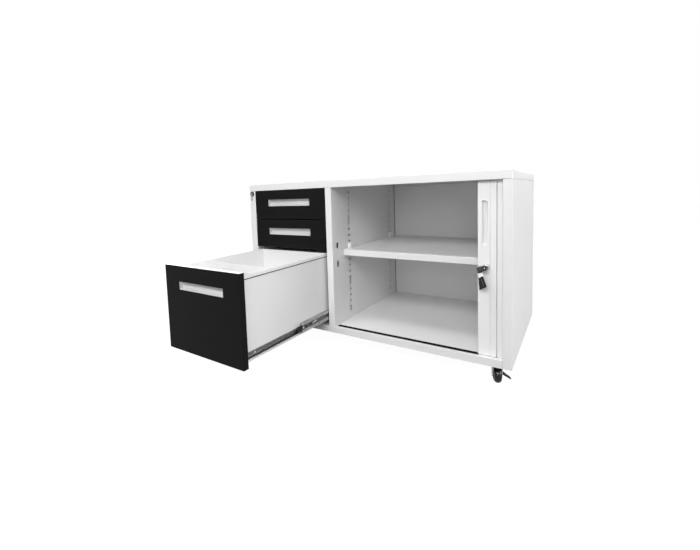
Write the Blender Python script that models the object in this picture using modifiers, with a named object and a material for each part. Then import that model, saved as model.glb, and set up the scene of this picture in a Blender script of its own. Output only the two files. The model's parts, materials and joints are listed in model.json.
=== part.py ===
"""Mobile steel cabinet: two box drawers and a file drawer beside a cupboard with a roller shutter.

Metres, +Z up, front towards -Y. The origin is on the floor, under the middle of the box round the
cabinet with its file drawer pulled out and its shutter pushed open, which is how it stands here.
"""
import math

import bmesh
import bpy
from mathutils import Matrix, Vector

# Overall sizes
WIDTH = 1.050
DEPTH = 0.600
BODY_HEIGHT = 0.595
CASTOR_HEIGHT = 0.065

# Sheet steel and the clearances between pieces
SHEET = 0.0012
BEND = 0.002
BEND_STEPS = 3
SEAT = 0.0003
RUNNING = 0.0004
CUT_PAST = 0.002

# Front frame
TOP_RAIL = 0.028
TOP_LIP = 0.008
BOTTOM_RAIL = 0.025
BASE_LIP = 0.030
LEFT_STILE = 0.032
DRAWER_BAY = 0.371
CENTRE_STILE = 0.027
RIGHT_STILE = 0.0265
STILE_RETURN = 0.007
BACK_FLANGE = 0.015
BACK_PAN = 0.007

# Drawers
FILE_TRAVEL = 0.455
BOX_FRONT_HEIGHT = 0.1185
FRONT_GAP = 0.0015
ROW_GAP = 0.003
FRONT_RETURN = 0.020
PULL_WIDTH = 0.218
PULL_HEIGHT = 0.0275
PULL_DEPTH = 0.014
PULL_WALL = 0.001
PULL_FLANGE = 0.006
PULL_ROOF = 0.003
BOX_PULL_DROP = 0.050
FILE_PULL_DROP = 0.066
BOX_DEPTH = 0.455
BOX_WALL = 0.001
BOX_LIFT = 0.012
BOX_RIM_DROP = 0.0215
FILE_BOX_LIFT = 0.014
FILE_RIM_DROP = 0.012
FILE_RAIL_BACK = 0.131
FILE_RAIL_HEIGHT = 0.025
FILE_RAIL_THICKNESS = 0.0015
RIM_HEIGHT = 0.010
RIM_OUT = 0.0025

# Telescopic slides
SLIDE_SPACE = 0.013
SLIDE_WEB = 0.0012
RACE = 0.004
FILE_SLIDE_HEIGHT = 0.045
BOX_SLIDE_HEIGHT = 0.036
SLIDE_LENGTH = 0.450
OUTER_WIDTH = 0.0096
MIDDLE_WIDTH = 0.0090
INNER_WIDTH = 0.0080
MIDDLE_SETBACK = 0.036
MIDDLE_LENGTH = 0.380
MIDDLE_SHARE = 0.5
SLIDE_RISE = 0.026
BOX_SLIDE_RISE = 0.040

# Cupboard
HOLE_PITCH = 0.025
HOLE_COUNT = 20
HOLE_LOW = 0.0725
HOLE_RADIUS = 0.0026
HOLE_SIDES = 6
HOLE_FRONT = 0.128
HOLE_REAR = 0.522
HALF_PITCH_AFTER = (0, 5, 15)
SHELF_HOLE = 10
SHELF_EDGE = 0.024
SHELF_SETBACK = 0.076
SHELF_PLAY = 0.002
SHELF_LIP = 0.010
SHELF_BACK_GAP = 0.004
CLIP_WIDTH = 0.014
CLIP_FOOT = 0.012
CLIP_DROP = 0.003
CLIP_HEAD = 0.019
PEG_LENGTH = 0.005
LINER_FLANGE = 0.013
LINER_SETBACK = 0.056

# Roller shutter
TRACK_SETBACK = 0.021
POCKET = 0.014
CORNER_RADIUS = 0.030
CORNER_STEPS = 6
SLAT_PITCH = 0.018
SLAT_THICKNESS = 0.007
SLAT_GAP = 0.0006
SLAT_TAPER = 0.0016
SLAT_NECK = 0.0008
STORED_SLATS = 31
CHANNEL_DEPTH = 0.008
TRACK_WALL = 0.0015
TOP_TRACK_HEIGHT = 0.0185
SHUTTER_STANDOUT = 0.072
SHUTTER_STOP = 0.002
LEAD_WIDTH = 0.037
LEAD_THICKNESS = 0.009
LEAD_ROUND = 0.003
LEAD_CLEAR = 0.001
GRIP_CENTRE = 0.0215
GRIP_WIDTH = 0.019
GRIP_LENGTH = 0.141
GRIP_DROP = 0.087
GRIP_WALL = 0.0014
GRIP_DEPTH = 0.0125
GRIP_DEEP = 0.010
GRIP_SHALLOW = 0.002
ROUND_STEPS = 8

# Shutter lock and its folding key
SHUTTER_LOCK_X = 0.0256
SHUTTER_LOCK_DROP = 0.063
LOCK_RADIUS = 0.0095
LOCK_BODY = 0.0085
LOCK_BORE = 0.0058
LOCK_STANDOUT = 0.012
LOCK_BACK = 0.0088
TURN_STEPS = 16
YOKE_LENGTH = 0.024
YOKE_TURN = 17.0
YOKE_HEIGHT = 0.016
YOKE_DEPTH = 0.014
KEY_TOP = 0.0235
KEY_LENGTH = 0.038
KEY_TOP_WIDTH = 0.013
KEY_WIDTH = 0.020
KEY_THICKNESS = 0.005
KEY_OFFSET = 0.0195
BOLT_THROW = 0.010
BOLT_THICKNESS = 0.002
BOLT_SPREAD = 0.0367
TONGUE_HEIGHT = 0.016
TONGUE_ROOT = 0.008
BOLT_STEM = 0.010
STRIKE_HEIGHT = 0.022
STRIKE_WIDTH = 0.005

# Drawer lock, its cam and the bar that holds the drawers
DRAWER_LOCK_X = 0.016
DRAWER_LOCK_DROP = 0.012
FACE_RADIUS = 0.011
FACE_THICKNESS = 0.003
HOUSING_LENGTH = 0.022
CAM_LENGTH = 0.018
CAM_WIDTH = 0.010
CAM_THICKNESS = 0.002
BAR_WIDTH = 0.014
BAR_THICKNESS = 0.003
BAR_TOP_GAP = 0.004
BAR_FOOT = 0.040
FOLD_KEY_LENGTH = 0.030
FOLD_KEY_WIDTH = 0.007
FOLD_KEY_THICKNESS = 0.002

# Castors
CASTOR_INSET_X = 0.053
CASTOR_INSET_Y = 0.0595
CASTOR_TURN = 20.0
PLATE_SIZE = 0.064
PLATE_THICKNESS = 0.0025
BOSS_RADIUS = 0.014
BOSS_HEIGHT = 0.0065
KING_PIN = 0.005
CROWN_THICKNESS = 0.003
FORK_SHEET = 0.0022
FORK_WIDTH = 0.022
AXLE_RADIUS = 0.004
TRAIL = 0.018
WHEEL_RADIUS = 0.025
WHEEL_WIDTH = 0.023
WHEEL_SHOULDER = 0.006
HUB_RECESS = 0.003
WHEEL_STEPS = 24
LEVER_HEIGHT = 0.030
LEVER_REACH = 0.020
LEVER_FALL = 0.013
LEVER_WIDTH = 0.014
LEVER_THICKNESS = 0.003

# Places worked out from the sizes above
LEFT = -WIDTH / 2
RIGHT = WIDTH / 2
FRONT = (FILE_TRAVEL - DEPTH) / 2
BACK = FRONT + DEPTH
BODY_BOTTOM = CASTOR_HEIGHT
TOP = BODY_BOTTOM + BODY_HEIGHT
RAIL_UNDER = TOP - TOP_RAIL
TOP_UNDER = TOP - SHEET - SEAT
DECK = BODY_BOTTOM + BOTTOM_RAIL
BAY_LEFT = LEFT + LEFT_STILE
BAY_RIGHT = BAY_LEFT + DRAWER_BAY
DIVIDER_RIGHT = BAY_RIGHT + CENTRE_STILE
OPENING_RIGHT = RIGHT - RIGHT_STILE
BACK_SHEET = BACK - SHEET - SEAT - BACK_PAN
LINER_X = OPENING_RIGHT - SEAT
FRONT_LEFT = BAY_LEFT + FRONT_GAP
FRONT_RIGHT = BAY_RIGHT - FRONT_GAP
BOX_LEFT = BAY_LEFT + SLIDE_SPACE
BOX_RIGHT = BAY_RIGHT - SLIDE_SPACE
SLIDE_FRONT = FRONT + FRONT_RETURN + BOX_WALL + SEAT
DRAWER_ONE = RAIL_UNDER - ROW_GAP - BOX_FRONT_HEIGHT
DRAWER_TWO = DRAWER_ONE - ROW_GAP - BOX_FRONT_HEIGHT
FILE_BOTTOM = DECK + ROW_GAP
FILE_FRONT_HEIGHT = DRAWER_TWO - ROW_GAP - FILE_BOTTOM
TRACK_Y = FRONT + TRACK_SETBACK
POCKET_X = RIGHT - POCKET
CORNER_X = POCKET_X - CORNER_RADIUS
TRACK_LEFT = DIVIDER_RIGHT + SHUTTER_STOP
SLAT_BOTTOM = DECK - CHANNEL_DEPTH + RUNNING
TOP_TRACK_UNDER = TOP_UNDER - TOP_TRACK_HEIGHT
SLAT_TOP = TOP_TRACK_UNDER + CHANNEL_DEPTH - RUNNING
LEAD_LEFT = OPENING_RIGHT - SHUTTER_STANDOUT
LEAD_RIGHT = LEAD_LEFT + LEAD_WIDTH
LEAD_FACE = TRACK_Y - LEAD_THICKNESS / 2
LEAD_BACK = TRACK_Y + LEAD_THICKNESS / 2
HOLE_BASE = BODY_BOTTOM + HOLE_LOW
SHELF_TOP = HOLE_BASE + SHELF_HOLE * HOLE_PITCH - CLIP_DROP
SHELF_BOTTOM = SHELF_TOP - SHELF_EDGE
LOCK_X = LEAD_LEFT + SHUTTER_LOCK_X
GRIP_BOTTOM = TOP - GRIP_DROP - GRIP_LENGTH
LOCK_Z = GRIP_BOTTOM - SHUTTER_LOCK_DROP
LOCK_FACE = LEAD_FACE - LOCK_STANDOUT
LOCK_END = LEAD_BACK + LOCK_BACK
BOLT_Y = LOCK_END + SEAT
DRAWER_LOCK = (LEFT + DRAWER_LOCK_X, FRONT, RAIL_UNDER - DRAWER_LOCK_DROP)
HOUSING_END = FRONT + HOUSING_LENGTH

SHARP_ANGLE = math.radians(40.0)


def clear_scene():
    for item in list(bpy.data.objects):
        bpy.data.objects.remove(item, do_unlink=True)


def new_collection(name):
    group = bpy.data.collections.new(name)
    bpy.context.scene.collection.children.link(group)
    return group


def new_material(name, colour, roughness, metallic=0.0):
    material = bpy.data.materials.new(name)
    material.use_nodes = True
    shader = material.node_tree.nodes["Principled BSDF"]
    shader.inputs["Base Color"].default_value = (*colour, 1.0)
    shader.inputs["Roughness"].default_value = roughness
    shader.inputs["Metallic"].default_value = metallic
    return material


clear_scene()
PARTS = new_collection("roller_shutter_cabinet")
CUTTERS = new_collection("cutters")
WHITE = new_material("white_powder_coat", (0.79, 0.79, 0.79), 0.45)
BLACK = new_material("black_powder_coat", (0.012, 0.012, 0.013), 0.42)
SLAT_WHITE = new_material("white_slat_plastic", (0.74, 0.74, 0.74), 0.40)
ZINC = new_material("zinc_plated_steel", (0.55, 0.55, 0.56), 0.32, 1.0)
DARK_ZINC = new_material("black_zinc_steel", (0.10, 0.10, 0.11), 0.40, 1.0)
CHROME = new_material("chromed_lock", (0.62, 0.62, 0.64), 0.15, 1.0)
PLASTIC = new_material("black_plastic", (0.010, 0.010, 0.011), 0.38)


def joint_empty(name, at, parent=None, turn=0.0, about="z"):
    """An empty on a joint's axis, which the pieces of that moving body hang from, turned with it."""
    empty = bpy.data.objects.new(name, None)
    PARTS.objects.link(empty)
    empty.parent = parent
    empty.location = at
    empty.rotation_euler["xyz".index(about)] = math.radians(turn)
    return empty


def body_offset(body):
    """Where a body's empty stands in the world, before its own turn."""
    offset = Vector()
    while body is not None:
        offset += body.location
        body = body.parent
    return offset


def link_mesh(name, bm, material, body=None, local=False, group=PARTS):
    """Store a mesh under its body's empty. Shapes drawn in the world are moved to the empty first."""
    if body is not None and not local:
        bmesh.ops.translate(bm, verts=bm.verts, vec=-body_offset(body))
    mesh = bpy.data.meshes.new(name)
    bm.to_mesh(mesh)
    bm.free()
    mesh.materials.append(material)
    mesh.shade_smooth()
    mesh.set_sharp_from_angle(angle=SHARP_ANGLE)
    item = bpy.data.objects.new(name, mesh)
    group.objects.link(item)
    item.parent = body
    return item


def combine(target, bm, operation, local=False):
    """Cut a shape out of a piece, or join it on, with a Boolean that keeps its tool as a guide."""
    name = f"{target.name}_{operation.lower()}_{len(target.modifiers)}"
    tool = link_mesh(name, bm, WHITE, target.parent, local, CUTTERS)
    tool.hide_render = True
    tool.display_type = "WIRE"
    boolean = target.modifiers.new(operation.lower(), "BOOLEAN")
    boolean.operation = operation
    boolean.object = tool
    boolean.solver = "EXACT"
    return target


def box(low, high, bm=None):
    """A cuboid between two corners."""
    bm = bm or bmesh.new()
    low = Vector(low)
    high = Vector(high)
    size = high - low
    place = Matrix.Translation((low + high) / 2) @ Matrix.Diagonal((*size, 1.0))
    bmesh.ops.create_cube(bm, size=1.0, matrix=place)
    return bm


def rod(centre, axis, start, end, radius, steps=TURN_STEPS, bm=None):
    """A cylinder along an axis, from start to end on that axis."""
    bm = bm or bmesh.new()
    turn = {"x": Matrix.Rotation(math.pi / 2, 4, "Y"), "y": Matrix.Rotation(math.pi / 2, 4, "X"),
            "z": Matrix.Identity(4)}[axis]
    middle = Vector(centre)
    middle["xyz".index(axis)] = (start + end) / 2
    bmesh.ops.create_cone(bm, cap_ends=True, segments=steps, radius1=radius, radius2=radius,
                          depth=abs(end - start), matrix=Matrix.Translation(middle) @ turn)
    return bm


def prism(outline, axis, start, end, bm=None):
    """A flat outline pulled along an axis. The outline holds the other two coordinates in X, Y, Z order."""
    bm = bm or bmesh.new()
    index = "xyz".index(axis)

    def lift(point, along):
        place = list(point)
        place.insert(index, along)
        return bm.verts.new(place)

    face = bm.faces.new([lift(point, start) for point in outline])
    pulled = bmesh.ops.extrude_face_region(bm, geom=[face])
    moved = [item for item in pulled["geom"] if isinstance(item, bmesh.types.BMVert)]
    step = Vector()
    step[index] = end - start
    bmesh.ops.translate(bm, verts=moved, vec=step)
    bmesh.ops.recalc_face_normals(bm, faces=bm.faces)
    return bm


def arc(centre, radius, start, end, steps):
    """Points along an arc, with angles in degrees."""
    angles = [math.radians(start + (end - start) * k / steps) for k in range(steps + 1)]
    return [(centre[0] + radius * math.cos(a), centre[1] + radius * math.sin(a)) for a in angles]


def stadium(centre, width, length, steps=ROUND_STEPS):
    """An upright slot with round ends."""
    radius = width / 2
    reach = length / 2 - radius
    top = arc((centre[0], centre[1] + reach), radius, 0, 180, steps)
    return top + arc((centre[0], centre[1] - reach), radius, 180, 360, steps)


def rounded_rectangle(low, high, radius, steps=BEND_STEPS):
    """A rectangle with its corners rounded."""
    inner = ((high[0] - radius, high[1] - radius), (low[0] + radius, high[1] - radius),
             (low[0] + radius, low[1] + radius), (high[0] - radius, low[1] + radius))
    points = []
    for quarter, centre in enumerate(inner):
        points += arc(centre, radius, quarter * 90, quarter * 90 + 90, steps)
    return points


def bent_path(points, radius=BEND, steps=BEND_STEPS):
    """An open path with each inner corner bent to a radius."""
    path = [Vector(points[0])]
    for before, corner, after in zip(points, points[1:], points[2:]):
        corner = Vector(corner)
        into = (Vector(before) - corner).normalized()
        out = (Vector(after) - corner).normalized()
        half = into.angle(out) / 2
        centre = corner + (into + out).normalized() * (radius / math.sin(half))
        start = corner + into * (radius / math.tan(half)) - centre
        turn = start.angle_signed(corner + out * (radius / math.tan(half)) - centre)
        for k in range(steps + 1):
            path.append(centre + Matrix.Rotation(-turn * k / steps, 2) @ start)
    path.append(Vector(points[-1]))
    return path


def folded_sheet(name, points, bottom, top, material, body=None, sheet=SHEET):
    """Sheet metal folded along a plan path. Its outer face lies on the right of the direction of travel."""
    bm = bmesh.new()
    path = bent_path(points)
    low = [bm.verts.new((p.x, p.y, bottom)) for p in path]
    high = [bm.verts.new((p.x, p.y, top)) for p in path]
    for k in range(len(path) - 1):
        bm.faces.new((low[k], low[k + 1], high[k + 1], high[k]))
    return thicken(link_mesh(name, bm, material, body), sheet)


def thicken(item, sheet):
    """Give an open surface its sheet thickness, inwards from the drawn face."""
    solid = item.modifiers.new("sheet", "SOLIDIFY")
    solid.thickness = sheet
    solid.offset = -1.0
    solid.use_even_offset = True
    return item


def tray(name, low, high, mouth, lip, material, body=None, sheet=SHEET, bend=BEND):
    """A folded tray: a box open at one side, such as "-z", with a lip turned in round its mouth."""
    bm = box(low, high)
    direction = Vector()
    direction["xyz".index(mouth[1])] = 1.0 if mouth[0] == "+" else -1.0
    bm.faces.ensure_lookup_table()
    opening = max(bm.faces, key=lambda face: face.normal.dot(direction))
    if lip:
        bmesh.ops.inset_region(bm, faces=[opening], thickness=lip, use_even_offset=True)
    bmesh.ops.delete(bm, geom=[opening], context="FACES_ONLY")
    item = link_mesh(name, bm, material, body)
    if bend:
        fold = item.modifiers.new("folds", "BEVEL")
        fold.width = bend
        fold.segments = 2
    return thicken(item, sheet)


def turned(name, profile, at, axis, material, body=None, steps=TURN_STEPS):
    """A turned piece. Its profile is (radius, distance along the axis), down the outer side."""
    bm = bmesh.new()
    points = [bm.verts.new((radius, 0.0, along)) for radius, along in profile]
    for first, second in zip(points, points[1:]):
        bm.edges.new((first, second))
    if profile[0][0] > 0:
        bm.edges.new((points[-1], points[0]))
    item = link_mesh(name, bm, material, body, True)
    item.location = Vector(at) - body_offset(body)
    item.rotation_euler = {"x": (0.0, math.pi / 2, 0.0), "y": (-math.pi / 2, 0.0, 0.0), "z": (0.0,) * 3}[axis]
    spin = item.modifiers.new("turning", "SCREW")
    spin.angle = 2 * math.pi
    spin.steps = steps
    spin.render_steps = steps
    spin.use_merge_vertices = True
    spin.merge_threshold = 0.00001
    return item


# Carcass

def build_carcass():
    tray("top_panel", (LEFT, FRONT, RAIL_UNDER), (RIGHT, BACK, TOP), "-z", TOP_LIP, WHITE)
    left_path = [(LEFT + BACK_FLANGE, BACK), (LEFT, BACK), (LEFT, FRONT), (BAY_LEFT, FRONT),
                 (BAY_LEFT, BACK_SHEET - SEAT)]
    left = folded_sheet("left_side_panel", left_path, BODY_BOTTOM, RAIL_UNDER - SEAT, WHITE)
    combine(left, rod(DRAWER_LOCK, "y", FRONT - CUT_PAST, FRONT + SHEET + CUT_PAST, LOCK_BODY + SEAT),
            "DIFFERENCE")
    right_path = [(OPENING_RIGHT, FRONT + STILE_RETURN), (OPENING_RIGHT, FRONT), (RIGHT, FRONT),
                  (RIGHT, BACK), (RIGHT - BACK_FLANGE, BACK)]
    folded_sheet("right_side_panel", right_path, BODY_BOTTOM, RAIL_UNDER - SEAT, WHITE)
    tray("back_panel", (LEFT + SHEET + SEAT, BACK_SHEET, BODY_BOTTOM),
         (RIGHT - SHEET - SEAT, BACK - SHEET - SEAT, RAIL_UNDER - SEAT), "+y", 0.0, WHITE, bend=0.0)
    base = tray("base_panel", (BAY_LEFT + SEAT, FRONT, BODY_BOTTOM),
                (RIGHT - SHEET - SEAT, BACK_SHEET - SEAT, DECK), "-z", BASE_LIP, WHITE, bend=0.0)
    notch = box((OPENING_RIGHT - SEAT, FRONT - CUT_PAST, BODY_BOTTOM - CUT_PAST),
                (RIGHT, FRONT + STILE_RETURN + SEAT, DECK + CUT_PAST))
    combine(base, notch, "DIFFERENCE")
    slot_half = CHANNEL_HALF + TRACK_WALL + SEAT
    combine(base, track_band(slot_half, SEAT, DECK - SHEET - CUT_PAST, DECK + CUT_PAST), "DIFFERENCE")


def build_divider():
    path = [(BAY_RIGHT, BACK_SHEET - SEAT), (BAY_RIGHT, FRONT), (DIVIDER_RIGHT, FRONT),
            (DIVIDER_RIGHT, BACK_SHEET - SEAT)]
    divider = folded_sheet("divider_panel", path, DECK + SEAT, TOP_UNDER, WHITE)
    notch = box((BAY_RIGHT - CUT_PAST, FRONT - CUT_PAST, RAIL_UNDER - SEAT),
                (DIVIDER_RIGHT + CUT_PAST, FRONT + TOP_LIP + SEAT, TOP + CUT_PAST))
    combine(divider, notch, "DIFFERENCE")
    cuts = hole_columns(DIVIDER_RIGHT)
    for side in (-1, 1):
        middle = LOCK_Z + side * BOLT_SPREAD
        strike_y = BOLT_Y + BOLT_THICKNESS / 2
        box((DIVIDER_RIGHT - SHEET - CUT_PAST, strike_y - STRIKE_WIDTH / 2, middle - STRIKE_HEIGHT / 2),
            (DIVIDER_RIGHT + CUT_PAST, strike_y + STRIKE_WIDTH / 2, middle + STRIKE_HEIGHT / 2), cuts)
    combine(divider, cuts, "DIFFERENCE")


def hole_heights():
    """Shelf holes up a column, with the extra half-pitch ones."""
    heights = [HOLE_BASE + k * HOLE_PITCH for k in range(HOLE_COUNT)]
    return heights + [HOLE_BASE + (k - 0.5) * HOLE_PITCH for k in HALF_PITCH_AFTER]


def hole_columns(face):
    """Cutters for the two columns of shelf holes through a sheet that lies just left of face."""
    bm = bmesh.new()
    for setback in (HOLE_FRONT, HOLE_REAR):
        for height in hole_heights():
            rod((0.0, FRONT + setback, height), "x", face - SHEET - CUT_PAST, face + CUT_PAST, HOLE_RADIUS,
                HOLE_SIDES, bm)
    return bm


def build_cupboard():
    path = [(LINER_X - LINER_FLANGE, FRONT + LINER_SETBACK), (LINER_X, FRONT + LINER_SETBACK),
            (LINER_X, BACK_SHEET - SEAT)]
    liner = folded_sheet("cupboard_liner", path, DECK + SEAT, TOP_UNDER, WHITE)
    combine(liner, hole_columns(LINER_X), "DIFFERENCE")
    shelf_left = DIVIDER_RIGHT + SHELF_PLAY
    shelf_right = LINER_X - SHEET - SHELF_PLAY
    tray("shelf", (shelf_left, FRONT + SHELF_SETBACK, SHELF_BOTTOM),
         (shelf_right, BACK_SHEET - SHELF_BACK_GAP, SHELF_TOP), "-z", SHELF_LIP, WHITE)
    for column, setback in (("front", HOLE_FRONT), ("rear", HOLE_REAR)):
        shelf_clip(f"shelf_clip_left_{column}", DIVIDER_RIGHT, 1, FRONT + setback)
        shelf_clip(f"shelf_clip_right_{column}", LINER_X - SHEET, -1, FRONT + setback)


def shelf_clip(name, face, way, middle):
    """A bent clip: a peg in a shelf hole, a strap down beside the shelf and a foot under it."""
    near = face + way * SEAT
    far = near + way * SHEET
    foot_top = SHELF_BOTTOM - SEAT
    head = SHELF_TOP + CLIP_DROP + CLIP_HEAD
    toe = near + way * CLIP_FOOT
    outline = [(near, head), (far, head), (far, foot_top), (toe, foot_top), (toe, foot_top - SHEET),
               (near, foot_top - SHEET)]
    clip = link_mesh(name, prism(outline, "y", middle - CLIP_WIDTH / 2, middle + CLIP_WIDTH / 2), WHITE)
    peg = rod((0.0, middle, SHELF_TOP + CLIP_DROP), "x", near - way * PEG_LENGTH, far - way * SHEET / 2,
              HOLE_RADIUS - 2 * SEAT, HOLE_SIDES)
    combine(clip, peg, "UNION")


# Roller shutter

CHANNEL_HALF = SLAT_THICKNESS / 2 + RUNNING
CORNER_LENGTH = CORNER_RADIUS * math.pi / 2
CORNER_EASE = SLAT_PITCH ** 2 / (8 * CORNER_RADIUS)
CORNER_CENTRE = Vector((CORNER_X, TRACK_Y + CORNER_RADIUS))
STORED_START = LEAD_RIGHT + SLAT_PITCH
STORED_LENGTH = STORED_SLATS * SLAT_PITCH
TRACK_END = STORED_START - TRACK_LEFT + STORED_LENGTH + SLAT_PITCH / 2


def track_point(travel):
    """Where the shutter's centre line is at a distance from the closing edge, round the corner."""
    straight = CORNER_X - TRACK_LEFT
    if travel <= straight:
        return Vector((TRACK_LEFT + travel, TRACK_Y))
    turned_by = (travel - straight) / CORNER_RADIUS
    if turned_by <= math.pi / 2:
        return CORNER_CENTRE + CORNER_RADIUS * Vector((math.sin(turned_by), -math.cos(turned_by)))
    return Vector((POCKET_X, CORNER_CENTRE.y + travel - straight - CORNER_LENGTH))


def track_band(half, past, bottom, top):
    """A solid band along the shutter's path, eased inside the corner for stiff slats, with its ends past."""
    straight = CORNER_X - TRACK_LEFT
    bends = [CORNER_LENGTH * k / CORNER_STEPS for k in range(CORNER_STEPS + 1)]
    stops = [(-past, 0.0), (straight - SLAT_PITCH, 0.0)] + [(straight + bend, CORNER_EASE) for bend in bends]
    stops += [(straight + CORNER_LENGTH + SLAT_PITCH, 0.0), (TRACK_END + past, 0.0)]
    outer = []
    inner = []
    for travel, ease in stops:
        heading = min(max((travel - straight) / CORNER_RADIUS, 0.0), math.pi / 2)
        across = Vector((math.sin(heading), -math.cos(heading)))
        outer.append(track_point(travel) + across * half)
        inner.append(track_point(travel) - across * (half + ease))
    return prism(outer + inner[::-1], "z", bottom, top)


def build_tracks():
    outer = CHANNEL_HALF + TRACK_WALL
    channel_floor = DECK - CHANNEL_DEPTH
    channel_roof = TOP_TRACK_UNDER + CHANNEL_DEPTH
    lower_band = track_band(outer, 0.0, channel_floor - TRACK_WALL, DECK)
    lower = link_mesh("shutter_track_bottom", lower_band, PLASTIC)
    combine(lower, track_band(CHANNEL_HALF, CUT_PAST, channel_floor, DECK + CUT_PAST), "DIFFERENCE")
    upper = link_mesh("shutter_track_top", track_band(outer, 0.0, TOP_TRACK_UNDER, TOP_UNDER), PLASTIC)
    combine(upper, track_band(CHANNEL_HALF, CUT_PAST, TOP_TRACK_UNDER - CUT_PAST, channel_roof), "DIFFERENCE")


def slat_outline(first, count):
    """The plan outline of a run of slats with their living hinges. Each slat is a straight, tapered chord."""
    half = SLAT_THICKNESS / 2
    outer = []
    inner = []
    for k in range(count):
        start = track_point(first + k * SLAT_PITCH)
        end = track_point(first + (k + 1) * SLAT_PITCH)
        along = (end - start).normalized()
        across = Vector((along.y, -along.x))
        length = (end - start).length
        for distance, side in ((SLAT_GAP, SLAT_NECK), (SLAT_GAP, half), (length - SLAT_GAP, half),
                               (length - SLAT_GAP, SLAT_NECK)):
            outer.append(start + along * distance + across * side)
        for distance, side in ((SLAT_GAP, SLAT_NECK), (SLAT_GAP + SLAT_TAPER, half),
                               (length - SLAT_GAP - SLAT_TAPER, half), (length - SLAT_GAP, SLAT_NECK)):
            inner.append(start + along * distance - across * side)
    return outer + inner[::-1]


def build_shutter():
    first_stored = STORED_START - TRACK_LEFT
    link_mesh("shutter_curtain", prism(slat_outline(first_stored, STORED_SLATS), "z", SLAT_BOTTOM, SLAT_TOP),
              SLAT_WHITE)
    body = joint_empty("shutter_slide", (LEAD_LEFT, TRACK_Y, LOCK_Z))
    front_slat = prism(slat_outline(LEAD_RIGHT - TRACK_LEFT, 1), "z", SLAT_BOTTOM, SLAT_TOP)
    link_mesh("shutter_front_slat", front_slat, SLAT_WHITE, body)
    face = rounded_rectangle((LEAD_LEFT, LEAD_FACE), (LEAD_RIGHT - SEAT, LEAD_BACK), LEAD_ROUND)
    lead = link_mesh("shutter_lead_rail", prism(face, "z", DECK + LEAD_CLEAR, TOP_TRACK_UNDER - LEAD_CLEAR),
                     SLAT_WHITE, body)
    half = SLAT_THICKNESS / 2
    tongue = box((LEAD_LEFT + LEAD_ROUND, TRACK_Y - half, SLAT_BOTTOM),
                 (LEAD_RIGHT - LEAD_ROUND, TRACK_Y + half, SLAT_TOP))
    combine(lead, tongue, "UNION")
    grip_place = (LEAD_LEFT + GRIP_CENTRE, GRIP_BOTTOM + GRIP_LENGTH / 2)
    near = LEAD_FACE - CUT_PAST
    far = LEAD_BACK + CUT_PAST
    window = prism(stadium(grip_place, GRIP_WIDTH, GRIP_LENGTH), "y", near, far)
    rod((LOCK_X, 0.0, LOCK_Z), "y", near, far, LOCK_BODY + SEAT, bm=window)
    combine(lead, window, "DIFFERENCE")
    build_grip(grip_place, body)
    build_shutter_lock(body)


def build_grip(place, body):
    """The moulded finger cup: a slot-shaped cup whose floor rises from its deep left side to the right."""
    outside = stadium(place, GRIP_WIDTH - 2 * SEAT, GRIP_LENGTH - 2 * SEAT)
    grip = link_mesh("shutter_pull", prism(outside, "y", LEAD_FACE, LEAD_FACE + GRIP_DEPTH), SLAT_WHITE, body)
    inside = GRIP_WIDTH - 2 * SEAT - 2 * GRIP_WALL
    scoop = prism(stadium(place, inside, GRIP_LENGTH - 2 * SEAT - 2 * GRIP_WALL), "y", LEAD_FACE - CUT_PAST,
                  LEAD_FACE)
    for vertex in scoop.verts:
        if vertex.co.y > LEAD_FACE - CUT_PAST / 2:
            across = (vertex.co.x - place[0]) / inside + 0.5
            vertex.co.y = LEAD_FACE + GRIP_DEEP + (GRIP_SHALLOW - GRIP_DEEP) * across
    combine(grip, scoop, "DIFFERENCE")


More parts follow.
